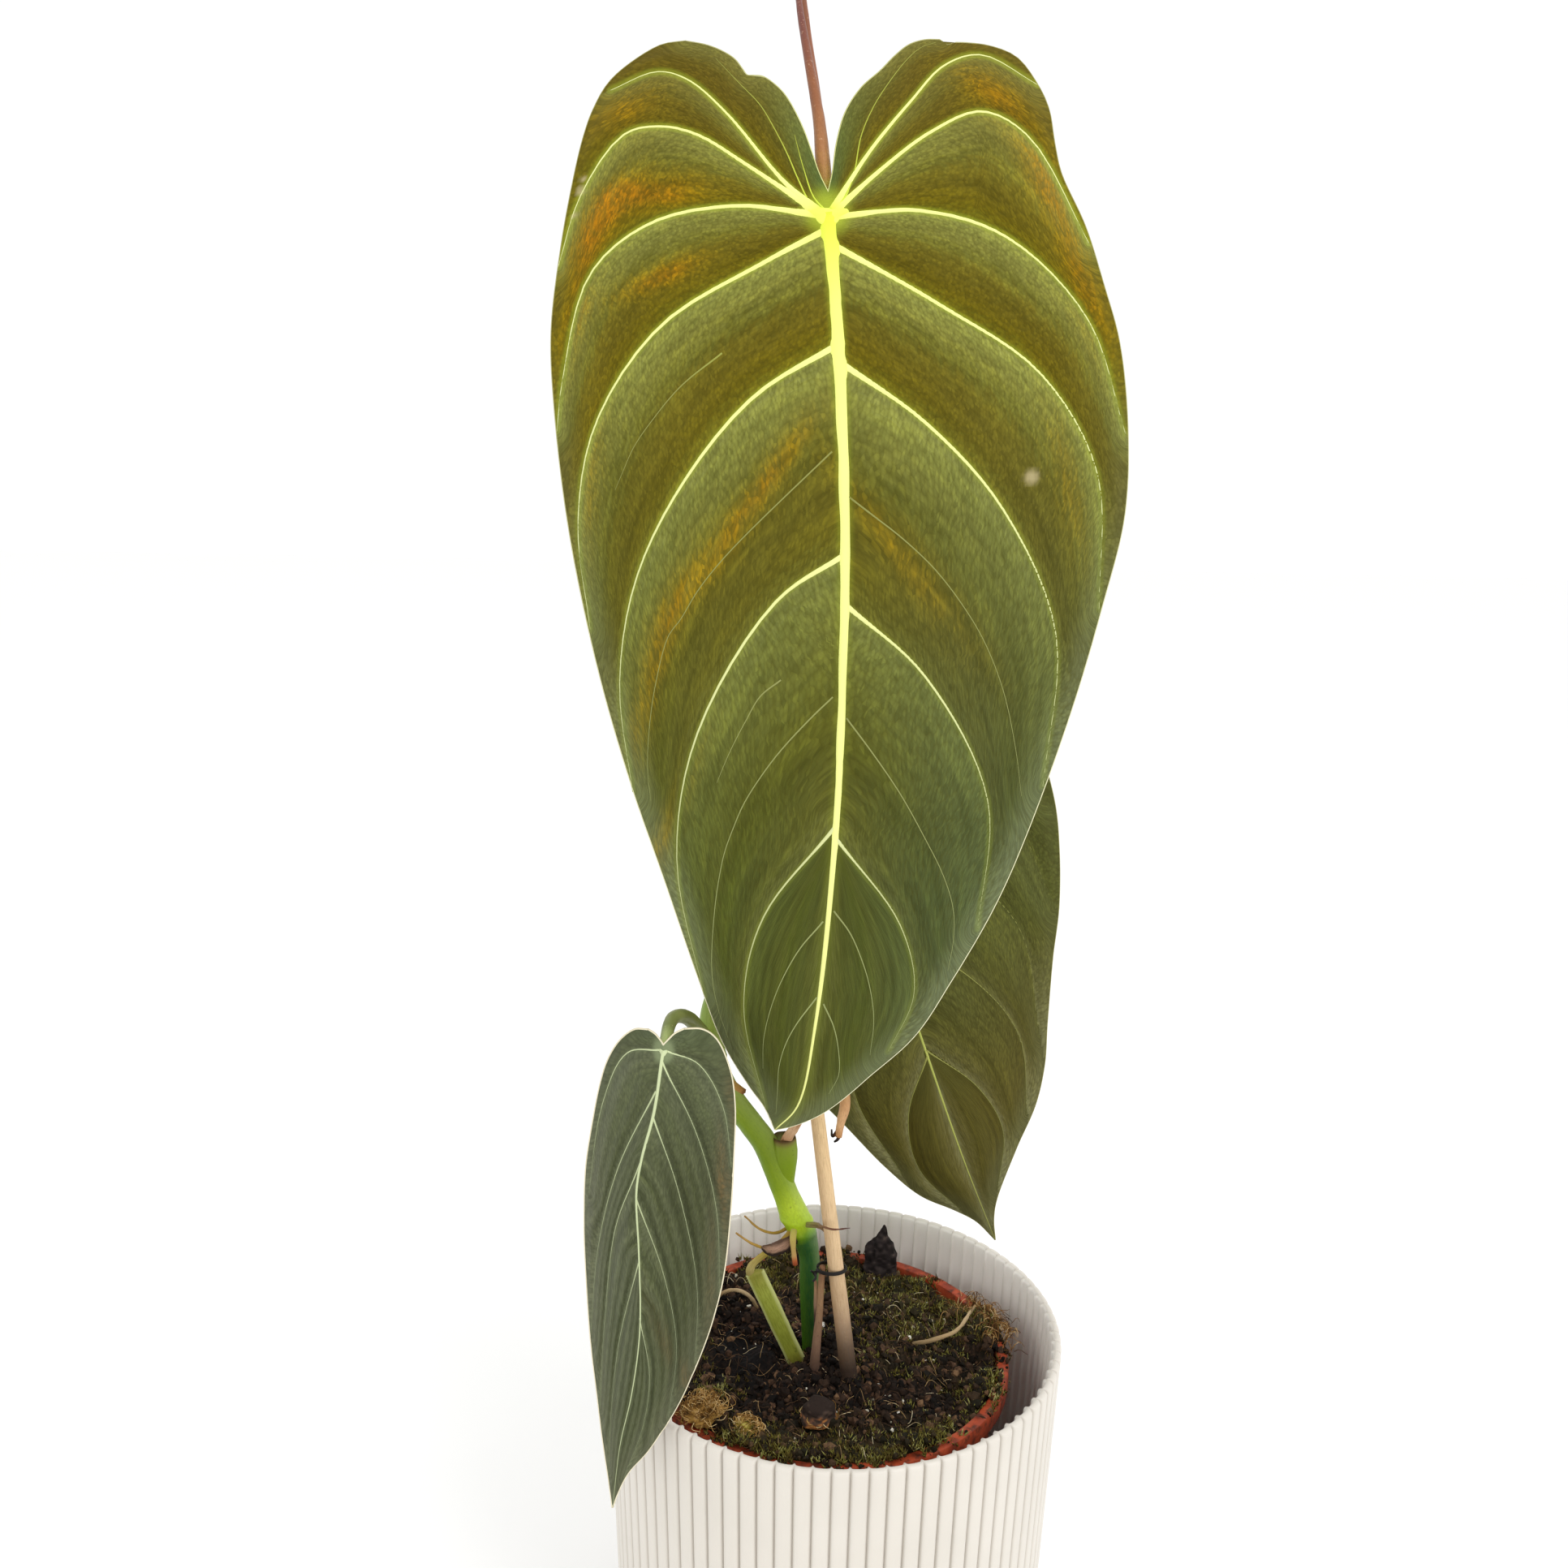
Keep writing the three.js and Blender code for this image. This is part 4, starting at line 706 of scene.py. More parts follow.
backLeaf = dict(
    name="back", joint=(-12.4, 26, 308.6), turn=21, quilt=1.9, fullPanel=14, pleats=3,
    pleatDepth=0.06, grid=(150, 30, 44), veinFade=90, sinus=(0, 4), tip=(0.2, -188),
    leftSinus=((-2.4, 9), (-5.5, 15), (-11, 23), (-17, 28)), leftTop=(-24, 30),
    leftMargin=(
        (-34, 26.5), (-43, 17), (-49, 4), (-52.5, -14), (-54, -36), (-53, -58), (-49.5, -82),
        (-43, -106), (-33, -129), (-24.8, -149), (-17.6, -162.4), (-9.2, -171), (-3.6, -178)),
    rightSinus=((2.4, 9), (5.5, 15), (11, 23), (17, 28)), rightTop=(24, 30),
    rightMargin=(
        (35, 27), (46, 18), (55.6, 4), (62, -14), (65.4, -34), (64.8, -52), (61.4, -67),
        (55.2, -85), (48.4, -99), (39.8, -119), (34.6, -132), (27.6, -144), (17.4, -156),
        (5.2, -172.6), (2, -180)),
    midrib=((0, 0), (1.5, -50), (0.5, -110), (-0.2, -150), (0.2, -188)),
    veins=(
        ((-1, 0.6), (-18, 15), (-29, 20), (-43, 12)),
        ((-1.4, -0.6), (-24, 0.5), (-42, -12), (-52, -44)),
        ((0.6, -6), (-24, -22), (-42, -48), (-47, -86)),
        ((1.3, -34), (-20, -52), (-35, -80), (-36, -120)),
        ((1, -72), (-17, -92), (-26, -120), (-21, -152)),
        ((0.4, -114), (-12, -132), (-15, -152), (-7, -172)),
        ((1, 0.6), (18, 15), (31, 20), (50, 11)), ((1.4, -0.6), (26, 0.5), (48, -14), (62, -50)),
        ((1.2, -6), (28, -22), (50, -50), (54, -84)),
        ((1.6, -34), (24, -54), (41, -84), (36, -122)),
        ((1.2, -72), (20, -92), (30, -118), (24, -146)),
        ((0.6, -112), (12, -130), (15, -148), (7, -168))),
    bows=(0.002222, 0.005556, 0.001633), fallStart=-115, folds=(0.05, 0.05),
    warmPatches=((20, -60, 30, 8, -1.0, 0.5), (-20, -80, 30, 8, 1.0, 0.4)), midribSize=0.5,
    veinSize=0.5, proud=0.32, edgeWidths=(0.5, 0.5), bossSize=(2.6, 0.8, 1.6),
    veinLook=(((0.0, "#7f7d40"), (0.3, "#94944c"), (0.6, "#a9ad58"), (1.0, "#c9d468")), "#74702c"),
    edgeLook=(((0.0, "#a4a070"), (1.0, "#a4a070")), "#8a865a"),
    look=dict(
        largeLook,
        panelColorShadeRamp=((0.0, "#52552d"), (0.3, "#555930"), (0.6, "#4f5229"), (1.0, "#505329")),
        # Painted shade just under each vein, lighter towards the next.
        lowColorShadeRamp=(
            (0.0, "#463f18"), (0.25, "#504a21"), (0.6, "#554f24"), (0.84, "#645e36"),
            (1.0, "#777351")),
        lowSpan=(-80, -135), lobeShare=0, rightShadeShare=0.35, rightShadeColor="#57502a",
        glowRamp=((0.0, "#5f5a1c"), (1.0, "#6f6620")), haloColor="#7c8244", haloShare=0.25,
        haloWidth=1.0, haloReach=60.0, midHaloWidth=1.8, jointGlow=6.0, edgeSheenShare=0.2,
        cellEdgeColor="#3c3516"))

frontLeaf = dict(
    name="front", joint=(-47.6, -62, 239.1), quilt=1.9, fullPanel=8, pleats=2, pleatDepth=0.36,
    splitX=-12, grid=(180, 12, 52), veinFade=120, sinus=(0, 1.4), tip=(-13.6, -131.5),
    leftSinus=((-1.2, 2.2), (-2.6, 2.9)), leftTop=(-4.4, 3.2),
    leftMargin=(
        (-8, 2), (-12, -1.6), (-15.4, -7.6), (-17.8, -15.4), (-19.9, -26.5), (-21.8, -39.5),
        (-22.6, -56), (-22.2, -74), (-20.9, -90), (-18.3, -105.5), (-16.1, -117.5), (-14.5, -126)),
    rightSinus=((1.2, 2.4), (2.8, 3.6)), rightTop=(5, 4.4),
    rightMargin=(
        (9.4, 4), (13.4, 1.2), (16.6, -5.6), (18, -15.7), (17.8, -32), (17.2, -46), (15.9, -62.3),
        (14.3, -71.6), (11.2, -83.2), (6.9, -95), (2.4, -105), (-4.4, -115.6), (-9.6, -121.6),
        (-12.8, -128.6)),
    midrib=(
        (0, 0), (-2.1, -15.4), (-5.4, -28.9), (-6.7, -38), (-6.1, -56), (-6, -78), (-8.3, -97),
        (-11.4, -112), (-13.6, -131.5)),
    veins=(
        ((-1, 0), (-10, -4), (-17, -20), (-21, -46)),
        ((-1.6, -10), (-12, -34), (-18.6, -62), (-21, -88)),
        ((-5.4, -29), (-13, -52), (-16.6, -82), (-17.8, -106)),
        ((-6.2, -58), (-12, -84), (-14.2, -104), (-14.8, -122)),
        ((1, 0), (9, -4), (15, -16), (17.4, -34)), ((-0.3, -2), (8, -22), (13.6, -46), (14.6, -70)),
        ((-2.4, -17), (4, -40), (8.6, -66), (8.4, -90)),
        ((-6.7, -40), (0, -62), (3.4, -84), (1.2, -106)),
        ((-6, -74), (-3.6, -92), (-5.6, -108), (-10.6, -122.6))),
    bows=(0, 0.03, 0), riseStart=-8, fallStart=-120, folds=(1, 0.3),
    warmPatches=((15, -40, 36, 2.4, 1.5, 0.8), (5, -92, 22, 2.2, -1.2, 0.6)), midribSize=0.2,
    veinSize=0.23, proud=0.32, edgeWidths=(0.6, 0.7, 0.7), bossSize=(1.3, 0.7, 0.9),
    veinLook=(((0.0, "#8f9676"), (0.3, "#a3aa88"), (0.6, "#b4bc92"), (1.0, "#c6d0a2")), "#767d5c"),
    edgeLook=(((0.0, "#e6dcc0"), (1.0, "#ded6b8")), "#cfc2a2"),
    look=dict(
        largeLook,
        panelColorShadeRamp=(
            (0.0, "#5a5f49"), (0.3, "#595e46"), (0.5, "#555b41"), (0.8, "#50553d"),
            (1.0, "#575c45")),
        # Alternating light and dark stops: the painted light and shade of the pleats.
        lowColorShadeRamp=(
            (0.0, "#62674f"), (0.16, "#454a33"), (0.32, "#5e634b"), (0.48, "#42472f"),
            (0.64, "#5b6048"), (0.82, "#40452e"), (0.94, "#585d46"), (1.0, "#62674f")),
        lowSpan=(-14, -40), lobeShare=0, rightShadeSpan=(-6, 6), rightShadeShare=0.5, rightShadeColor="#3c3f28",
        glowRamp=((0.0, "#5a4832"), (1.0, "#6a5638")), haloColor="#7f8a66", haloShare=0.25,
        haloWidth=0.5, haloReach=40.0, midHaloWidth=1.0, jointGlow=4.0, cellShare=0.4,
        cellRows=(14.0, 1.25), sheen=0.2, glossTint="#c9cbb8", edgeSheenShare=0.3, edgeSheenColor="#70705c",
        cellEdgeColor="#2f3320", sinusShade=0.2, underRamp=((0.3, "#7a6a5c"), (0.7, "#94806c")),
        underNet="#a8907c"))

for leaf in (largeLeaf, backLeaf, frontLeaf):
    makeLeaf({**usualLeaf, **leaf})


# Decorative pot. A turn of the wall has 86 flutes: with p the place across a flute, -0.5 to
# 0.5, the wall goes in by depth * (0.3 * |2p| ** 3 + 0.7 * exp(-((0.5 - |p|) / 0.07) ** 2)).
outerPot = dict(
    height=126, rimRadius=70, baseRadius=65.5, wall=2.4, flutes=86, depth=0.95, foot=1.2,
    samples=(-0.5, -0.465, -0.43, -0.38, -0.28, -0.14, 0, 0.14, 0.28, 0.38, 0.43, 0.465),
    cloudRamp=((0.3, "#d5cfc5"), (0.7, "#dad4ca")), grooveShadeColor="#a9a297", grooveShadeShare=0.5,
    innerColor="#fbf7f0", speckPlace=(-0.0305, -0.0617, 0.1195))


# The profile's rows are radius, height and share of the flutes' depth.
def makeOuterPot(pot, material):
    def wallAt(z):
        return pot["baseRadius"] + (pot["rimRadius"] - pot["baseRadius"]) * z / pot["height"]

    top, wall, foot = pot["height"], pot["wall"], pot["foot"]
    outside = [(0, 0, 0), (50, 0, 0), (wallAt(0) - 2.2, 0, 0.2), (wallAt(0) - 0.6, 0.3, 0.8),
               (wallAt(foot), foot, 1)]
    outside += [(wallAt(z), z, 1) for z in (8, 30, 55, 80, 100, 114, 121, top - 1.4)]
    rim = [(wallAt(top) - inwards, top - down, share) for inwards, down, share in (
        (0.12, 0.75, 1), (0.5, 0.22, 0.95), (1.2, 0, 0.9), (1.9, 0.22, 0.95), (2.28, 0.75, 1))]
    inside = [(wallAt(z) - wall, z, 1) for z in (top - 1.4, 120, 110, 90, 60, 30, 8)]
    inside += [(wallAt(4) - wall - 0.4, 3.8, 0.6), (wallAt(3) - wall - 2, 3, 0), (30, 3, 0),
               (0, 3, 0)]
    profile = np.array(outside + rim + inside)
    place = np.array(pot["samples"])
    groove = 0.3 * np.abs(2 * place) ** 3 + 0.7 * np.exp(-((0.5 - np.abs(place)) / 0.07) ** 2)
    groove = np.tile(groove, pot["flutes"])
    turns = (np.arange(pot["flutes"])[:, None] + 0.5 + place[None, :]).ravel()
    angle = turns * 2 * np.pi / pot["flutes"]
    radius = profile[:, :1] - profile[:, 2:] * (groove * pot["depth"])[None, :]
    points = pointsOf(radius * np.cos(angle), radius * np.sin(angle), profile[:, 1:2])
    kept, faces = closedGrid(*radius.shape)
    inner = np.repeat(np.arange(len(profile)) > len(outside) + len(rim) // 2 + 1, len(angle))
    fields = {"groove": np.tile(groove, len(profile))[kept], "inner": inner[kept]}
    makePiece("flutedPot", points[kept], faces, [material], "white_plastic", "outer_pot", fields,
              crease=0.75)


# Moulded polypropylene, satin and warm white: soft wide highlights, faint flow clouds, a painted
# shade in the grooves, a dirt speck on the front. Daylight comes through the wall, so its inner
# face is lighter.
def potPlastic(pot):
    material, add, groove, inner = newMaterial("whitePolypropylene", "groove", "inner")
    place = add("TexCoord", output="Object")
    clouds = add("TexNoise", Scale=45.0, Detail=5.0, Vector=place)
    grain = add("TexNoise", Scale=900.0, Detail=2.0, Vector=place)
    # Painted shade darkens the grooves.
    grooveShade = add("Math MULTIPLY", groove, pot["grooveShadeShare"])
    speck = add("MapRange", add("VectorMath DISTANCE", place, pot["speckPlace"]), 0.0008, 0.0004)
    color = layerColors(add, add("ValToRGB", clouds, ramp=pot["cloudRamp"]), (
        (inner, pot["innerColor"]), (grooveShade, pot["grooveShadeColor"]), (speck, "#3a3634")))
    addSurface(add, color, 0.42, 0.4, (0.12, 0.0002, grain), IOR=1.49)
    return material


makeOuterPot(outerPot, potPlastic(outerPot))
print("fluted pot made")


# Nursery pot: a plain profile turned round its axis, with drain holes cut through its floor.
nurseryPot = dict(
    middle=(-1.6, 2.5), bottom=3.3, rimZ=114, rimRadius=56.7, topRadius=54, baseRadius=42, wall=1,
    skirt=6, sides=180, drainCount=6, drainRadius=4, drainRing=28, drillHeights=(0.3, 3.5, 6),
    ramp=((0.3, "#7c2c16"), (0.5, "#a34224"), (0.75, "#b9502c")), dirtColor="#3c2216")


def makeNurseryPot(pot, material):
    (middleX, middleY), bottom, rim, wall = pot["middle"], pot["bottom"], pot["rimZ"], pot["wall"]
    base, outer, inner = pot["baseRadius"], pot["rimRadius"], pot["topRadius"] - wall
    skirt = rim - pot["skirt"]
    slope = (pot["topRadius"] - base) / (rim - bottom)
    profile = np.array([
        (0, bottom), (base - 1, bottom), (base, bottom + 1),
        (base + slope * (skirt - bottom), skirt), (outer - 0.3, skirt), (outer, skirt + 0.4),
        (outer, rim - 0.9), (outer - 0.3, rim - 0.25), (outer - 0.9, rim), (inner + 0.7, rim),
        (inner + 0.2, rim - 0.3), (inner, rim - 0.9), (base - wall, bottom + wall),
        (0, bottom + wall)])
    angle, (radius, z) = fullTurn(pot["sides"]), profile.T[:, :, None]
    kept, faces = closedGrid(len(profile), len(angle))
    points = pointsOf(middleX + radius * np.cos(angle), middleY + radius * np.sin(angle), z)
    piece = makePiece("nurseryPot", points[kept], faces, [material], "terracotta_plastic",
                      "nursery_pot", crease=0.7)
    drills = []
    for turn in fullTurn(pot["drainCount"]):
        x, y = middleX + pot["drainRing"] * np.cos(turn), middleY + pot["drainRing"] * np.sin(turn)
        path = [(x, y, z) for z in pot["drillHeights"]]
        drills.append(tubeSurface(path, (pot["drainRadius"],) * 2, (0, 1, 0), steps=2, dome=0.0))
    drillMesh = newMesh("drills", *joinSurfaces(drills))
    drillMesh.update(calc_edges=True)
    drillMesh.shade_flat()
    drillPiece = addObject("drills", drillMesh)
    cut = piece.modifiers.new("drainHoles", "BOOLEAN")
    cut.operation, cut.object, cut.solver = "DIFFERENCE", drillPiece, "EXACT"
    bpy.context.view_layer.update()
    evaluated = piece.evaluated_get(bpy.context.evaluated_depsgraph_get())
    cutMesh = bpy.data.meshes.new_from_object(evaluated)
    piece.modifiers.clear()
    piece.data = cutMesh
    bpy.data.objects.remove(drillPiece)


# Thin vacuum-formed plastic, terracotta coloured: dull, with soil rubbed into its rim.
def terracottaPlastic(pot):
    material, add = newMaterial("terracottaPlastic")
    place = add("TexCoord", output="Object")
    clouds = add("TexNoise", Scale=160.0, Detail=6.0, Vector=place)
    dirt = add("TexNoise", Scale=420.0, Detail=4.0, Vector=place)
    rubbed = add("MapRange", dirt, 0.47, 0.66, None, 0.85)
    tone = add("ValToRGB", clouds, ramp=pot["ramp"])
    color = layerColors(add, tone, ((rubbed, pot["dirtColor"]),))
    addSurface(add, color, 0.5, 0.3, (0.3, 0.0003, dirt), IOR=1.49)
    return material


makeNurseryPot(nurseryPot, terracottaPlastic(nurseryPot))
print("nursery pot made")


# Soil: the level top has a mound round the stem, hollows and a heap, crossing waves, and four
# octaves of lattice noise for crumbs; it closes with a wall and a bottom inside the pot. A bank
# is a direction in degrees, its spread and its share; a hollow or a heap is x, y, spread, depth.
soilBed = dict(
    edgeZ=111.5, mound=4, moundPlace=(-5, -2, 26), topRadius=52.1, bottomRadius=40.5, bottom=4.6,
    rings=104, sectors=430, octaves=((7.0, 1.5), (3.4, 1.1), (1.7, 0.7), (0.9, 0.4)),
    hollows=((-25, -6, 15, 3.2), (-34, 12, 10, 2.0), (-10, 19, 8, 2.0)), bank=3.4,
    banks=(
        (98, 30, 1), (155, 25, 1), (-150, 22, 1), (-112, 26, 1), (11, 14, 1), (-62, 10, 1),
        (-26, 28, 0.9), (-94, 18, 1)),
    heap=(-5.5, -18, 8.5, 2.4),
    ramp=((0.3, "#0b0706"), (0.5, "#1a110d"), (0.62, "#33231a"), (0.8, "#5c4631")),
    mossRamp=((0.35, "#231d10"), (0.6, "#463f1a")), hollowShadeColor="#0a0808")


# A smooth spot: 1 at its middle, falling off as exp(-(d / spread) ** 2).
def spotAt(x, y, middleX, middleY, spread):
    return np.exp(-(np.hypot(x - middleX, y - middleY) / spread) ** 2)


def fromPotMiddle(x, y):
    return x - nurseryPot["middle"][0], y - nurseryPot["middle"][1]


# Soil banked up against the rim: full at the wall and fading over 5 mm, in some directions.
def bankShare(x, y):
    offX, offY = fromPotMiddle(x, y)
    heading = np.degrees(np.arctan2(offY, offX))
    share = sum(full * np.exp(-(((heading - middle + 180) % 360 - 180) / spread) ** 2)
                for middle, spread, full in soilBed["banks"])
    return np.minimum(share, 1) * np.exp(-(np.minimum(0, np.hypot(offX, offY) - 52) / 5.0) ** 2)


def soilHeight(x, y):
    height = soilBed["edgeZ"] + soilBed["mound"] * spotAt(x, y, *soilBed["moundPlace"])
    height += 1.1 * np.sin(0.21 * x + 0.8) * np.cos(0.17 * y)
    height += 0.8 * np.sin(0.33 * x - 0.27 * y + 2) + 0.6 * np.sin(0.52 * x + 0.47 * y)
    for *spot, deep in soilBed["hollows"]:
        height -= deep * spotAt(x, y, *spot)
    *spot, high = soilBed["heap"]
    height += high * spotAt(x, y, *spot)
    height += soilBed["bank"] * bankShare(x, y)
    for number, (cell, size) in enumerate(soilBed["octaves"]):
        height += size * latticeNoise(pointsOf(x, y, 0.0), cell, 11 + number)
    return height


# How much moss grows at a place: most at the right and the front edge, none round the stem.
def mossShare(x, y):
    share = sum(strength * spotAt(x, y, *spot) for *spot, strength in mossLook["spots"])
    patchy = latticeNoise(pointsOf(x, y, 0.0), 5.0, 71)
    return np.clip(share * (0.75 + 0.6 * patchy), 0, 1)


def makeSoil(bed, material):
    angle = fullTurn(bed["sectors"])
    reach = bed["topRadius"] * np.linspace(1, 0, bed["rings"] + 1)
    radius = np.concatenate([[0, bed["bottomRadius"] * 0.5, bed["bottomRadius"]], reach])
    x = nurseryPot["middle"][0] + radius[:, None] * np.cos(angle)
    y = nurseryPot["middle"][1] + radius[:, None] * np.sin(angle)
    z = soilHeight(x.ravel(), y.ravel()).reshape(x.shape)
    z[:3] = bed["bottom"]
    kept, faces = closedGrid(*x.shape)
    points = pointsOf(x, y, z)[kept]
    x, y = points[:, 0], points[:, 1]
    hollow = sum(spotAt(x, y, *spot) for *spot, _ in bed["hollows"])
    makePiece("soilBed", points, faces, [material], "potting_soil", "soil",
              {"mossy": mossShare(x, y), "hollow": hollow})


# Moist potting mix: almost black in the hollows, a painted shade, brown and olive where moss
# starts.
def soilMaterial(bed):
    material, add, mossy, hollow = newMaterial("moistPeatMix", "mossy", "hollow")
    place = add("TexCoord", output="Object")
    fine = add("TexNoise", Scale=700.0, Detail=6.0, Vector=place)
    broad = add("TexNoise", Scale=130.0, Detail=5.0, Vector=place)
    # Painted shade in the hollows.
    hollowShade = add("Math MULTIPLY", hollow, 0.85, use_clamp=True)
    color = layerColors(add, add("ValToRGB", fine, ramp=bed["ramp"]), (
        (mossy, add("ValToRGB", broad, ramp=bed["mossRamp"])), (hollowShade, bed["hollowShadeColor"])))
    addSurface(add, color, 0.8, 0.15, (0.9, 0.0006, fine))
    return material


# Moss: three-sided spikes that lean out of common tufts. A spot is x, y, spread and strength.
mossLook = dict(
    seed=5, count=14000, length=(0.8, 2.8), width=0.3,
    spots=(
        (30, 28, 18, 0.7), (14, 44, 13, 1.0), (46, -18, 9, 1.0), (6, -47, 13, 1.0),
        (26, -42, 11, 0.9), (-36, -18, 8, 0.6), (51, 14, 8, 1.2), (-18, 46, 12, 0.9),
        (24, 4, 16, 0.35), (-22, -46, 11, 1.0), (-50, 4, 9, 0.7), (44, 30, 8, 1.2)),
    tuftLeaves=9, scatter=0.7, lean=0.55, reach=56,
    ramp=(
        (0.0, "#2a1f0e"), (0.3, "#4c3d1a"), (0.55, "#6a6124"), (0.8, "#8c8a48"), (1.0, "#c2bc80")))

makeSoil(soilBed, soilMaterial(soilBed))
print("soil made")

phi = (1 + 5 ** 0.5) / 2
icoPoints = np.array([(-1, phi, 0), (1, phi, 0), (-1, -phi, 0), (1, -phi, 0), (0, -1, phi),
                      (0, 1, phi), (0, -1, -phi), (0, 1, -phi), (phi, 0, -1), (phi, 0, 1),
                      (-phi, 0, -1), (-phi, 0, 1)]) / np.hypot(1, phi)
icoFaces = np.array([(0, 11, 5), (0, 5, 1), (0, 1, 7), (0, 7, 10), (0, 10, 11), (1, 5, 9),
                     (5, 11, 4), (11, 10, 2), (10, 7, 6), (7, 1, 8), (3, 9, 4), (3, 4, 2),
                     (3, 2, 6), (3, 6, 8), (3, 8, 9), (4, 9, 5), (2, 4, 11), (6, 2, 10),
                     (8, 6, 7), (9, 8, 1)])


# A grained material whose colour comes from the random tone of each small piece.
def looseMaterial(name, ramp, grainScale, bumpSize, mossColor="#000000", mossPart=0.0):
    material, add, tone, mossy = newMaterial(name, "tone", "mossy")
    grain = add("TexNoise", Scale=grainScale, Detail=4.0, Vector=add("TexCoord", output="Object"))
    total = add("Math ADD", add("Math MULTIPLY_ADD", grain, 0.5, -0.25), tone)
    share = add("Math MULTIPLY", mossy, mossPart)
    color = layerColors(add, add("ValToRGB", total, ramp=ramp), ((share, mossColor),))
    addSurface(add, color, 0.8, 0.15, (0.6, bumpSize, grain))
    return material


# Places on the soil: even over its disc, kept with a chance given by the share at each. As
# many as four times the count are tried.
def soilPlaces(draw, count, shareAt, reach):
    radius = reach * np.sqrt(draw.random(count * 4))
    angle = draw.random(count * 4) * 2 * np.pi
    x = nurseryPot["middle"][0] + radius * np.cos(angle)
    y = nurseryPot["middle"][1] + radius * np.sin(angle)
    kept = draw.random(count * 4) < shareAt(x, y)
    return x[kept][:count], y[kept][:count]


# The faces of one small shape, repeated for each of many.
def repeatFaces(faces, pointCount, count):
    return (faces[None] + pointCount * np.arange(count)[:, None, None]).reshape(-1, 3)


# Crumbs: twenty-sided balls, each stretched, dented and turned at random, sunk into the soil.
# The turns are the QR factors of random matrices.
def makeCrumbs(name, look, material):
    draw = np.random.default_rng(look["seed"])
    x, y = soilPlaces(draw, look["count"], look["shareAt"], look.get("reach", 51.5))
    count, (least, most) = len(x), look["size"]
    size = least + (most - least) * draw.random(count) ** 3
    stretch = size[:, None] * draw.uniform(0.55, 1.25, (count, 3))
    balls = icoPoints[None] * (1 + draw.uniform(-0.28, 0.28, (count, 12, 1)))
    turns = np.linalg.qr(draw.normal(size=(count, 3, 3)))[0]
    turns[:, :, 0] *= np.sign(np.linalg.det(turns))[:, None]
    balls = np.einsum("nij,npj->npi", turns, balls * stretch[:, None, :])
    z = soilHeight(x, y) + look["lift"] * size
    points = (balls + pointsOf(x, y, z)[:, None]).reshape(-1, 3)
    fields = {"tone": np.repeat(draw.random(count), 12), "mossy": np.repeat(mossShare(x, y), 12)}
    makePiece(name, points, [repeatFaces(icoFaces, 12, count)], [material], "potting_soil", "soil",
              fields, crease=0.5)


# The last ones are crumbs and bark bits that lie on the rim where the soil is banked up.
crumbMaterial = looseMaterial("barkCrumb", (
    (0.1, "#0c0806"), (0.5, "#1e140e"), (0.76, "#35251a"), (0.93, "#50392a"), (1.0, "#75593f")),
    900.0, 0.0004, "#37341a", 0.5)
makeCrumbs("soilCrumbs", {
    "seed": 21, "count": 8200, "size": (0.25, 1.7), "lift": 0.15,
    "shareAt": lambda x, y: np.clip(
        0.55 + 0.45 * spotAt(x, y, -4, -14, 14) - 0.6 * spotAt(x, y, -27, -2, 14), 0, 1),
}, crumbMaterial)
makeCrumbs("perlite", {
    "seed": 33, "count": 150, "size": (0.2, 0.95), "lift": 0.5,
    "shareAt": lambda x, y: 0.25 + 0.5 * spotAt(x, y, 14, 40, 16),
}, looseMaterial("perliteGrain", ((0.2, "#a8a08c"), (0.6, "#d8d2c0"), (1.0, "#efebe0")),
                 1500.0, 0.0003))
makeCrumbs("rimCrumbs", {
    "seed": 25, "count": 1500, "size": (0.3, 1.35), "lift": 0.5, "reach": 56.3,
    "shareAt": lambda x, y: bankShare(x, y) ** 3 * (np.hypot(*fromPotMiddle(x, y)) > 50),
}, crumbMaterial)


def makeMoss(look, material):
    draw, each = np.random.default_rng(look["seed"]), look["tuftLeaves"]
    tuftX, tuftY = soilPlaces(draw, look["count"] // each, mossShare, look["reach"])
    count = len(tuftX) * each
    x = np.repeat(tuftX, each) + draw.normal(0, look["scatter"], count)
    y = np.repeat(tuftY, each) + draw.normal(0, look["scatter"], count)
    lean = draw.normal(0, look["lean"], (count, 2))
    direction = unit(pointsOf(lean[:, 0], lean[:, 1], 1.0))
    length = draw.uniform(*look["length"], count)
    foot = pointsOf(x, y, soilHeight(x, y) - 0.3)
    first = unit(np.cross(direction, draw.normal(size=(count, 3))))
    second = np.cross(direction, first)
    turns = (np.array([0, 2, 4]) * np.pi / 3)[:, None]
    corners = foot[:, None] + look["width"] * (np.cos(turns) * first[:, None]
                                               + np.sin(turns) * second[:, None])
    tip = foot + direction * length[:, None]
    points = np.concatenate([corners, tip[:, None]], axis=1).reshape(-1, 3)
    spike = np.array([(0, 1, 3), (1, 2, 3), (2, 0, 3), (0, 2, 1)])
    tuftTone = np.repeat(draw.random(len(tuftX)), each)
    makePiece("moss", points, [repeatFaces(spike, 4, count)], [material], "potting_soil", "soil",
              {"tone": np.repeat(tuftTone * 0.7 + 0.3 * draw.random(count), 4)})


makeMoss(mossLook, looseMaterial("mossLeaf", mossLook["ramp"], 800.0, 0.0002))


# Threads as one piece: thin four-sided tubes along paths, each with a tone of its own.
def makeThreads(name, draw, paths, radii, guide, steps, material, slotName, node):
    threads, tones = [], []
    for path in paths:
        threads.append(tubeSurface(path, radii, guide, sides=4, steps=steps))
        tones.append(draw.random())
    points, faces = joinSurfaces(threads)
    makePiece(name, points, faces, [material], slotName, node,
              {"tone": np.repeat(tones, len(threads[0][0]))})


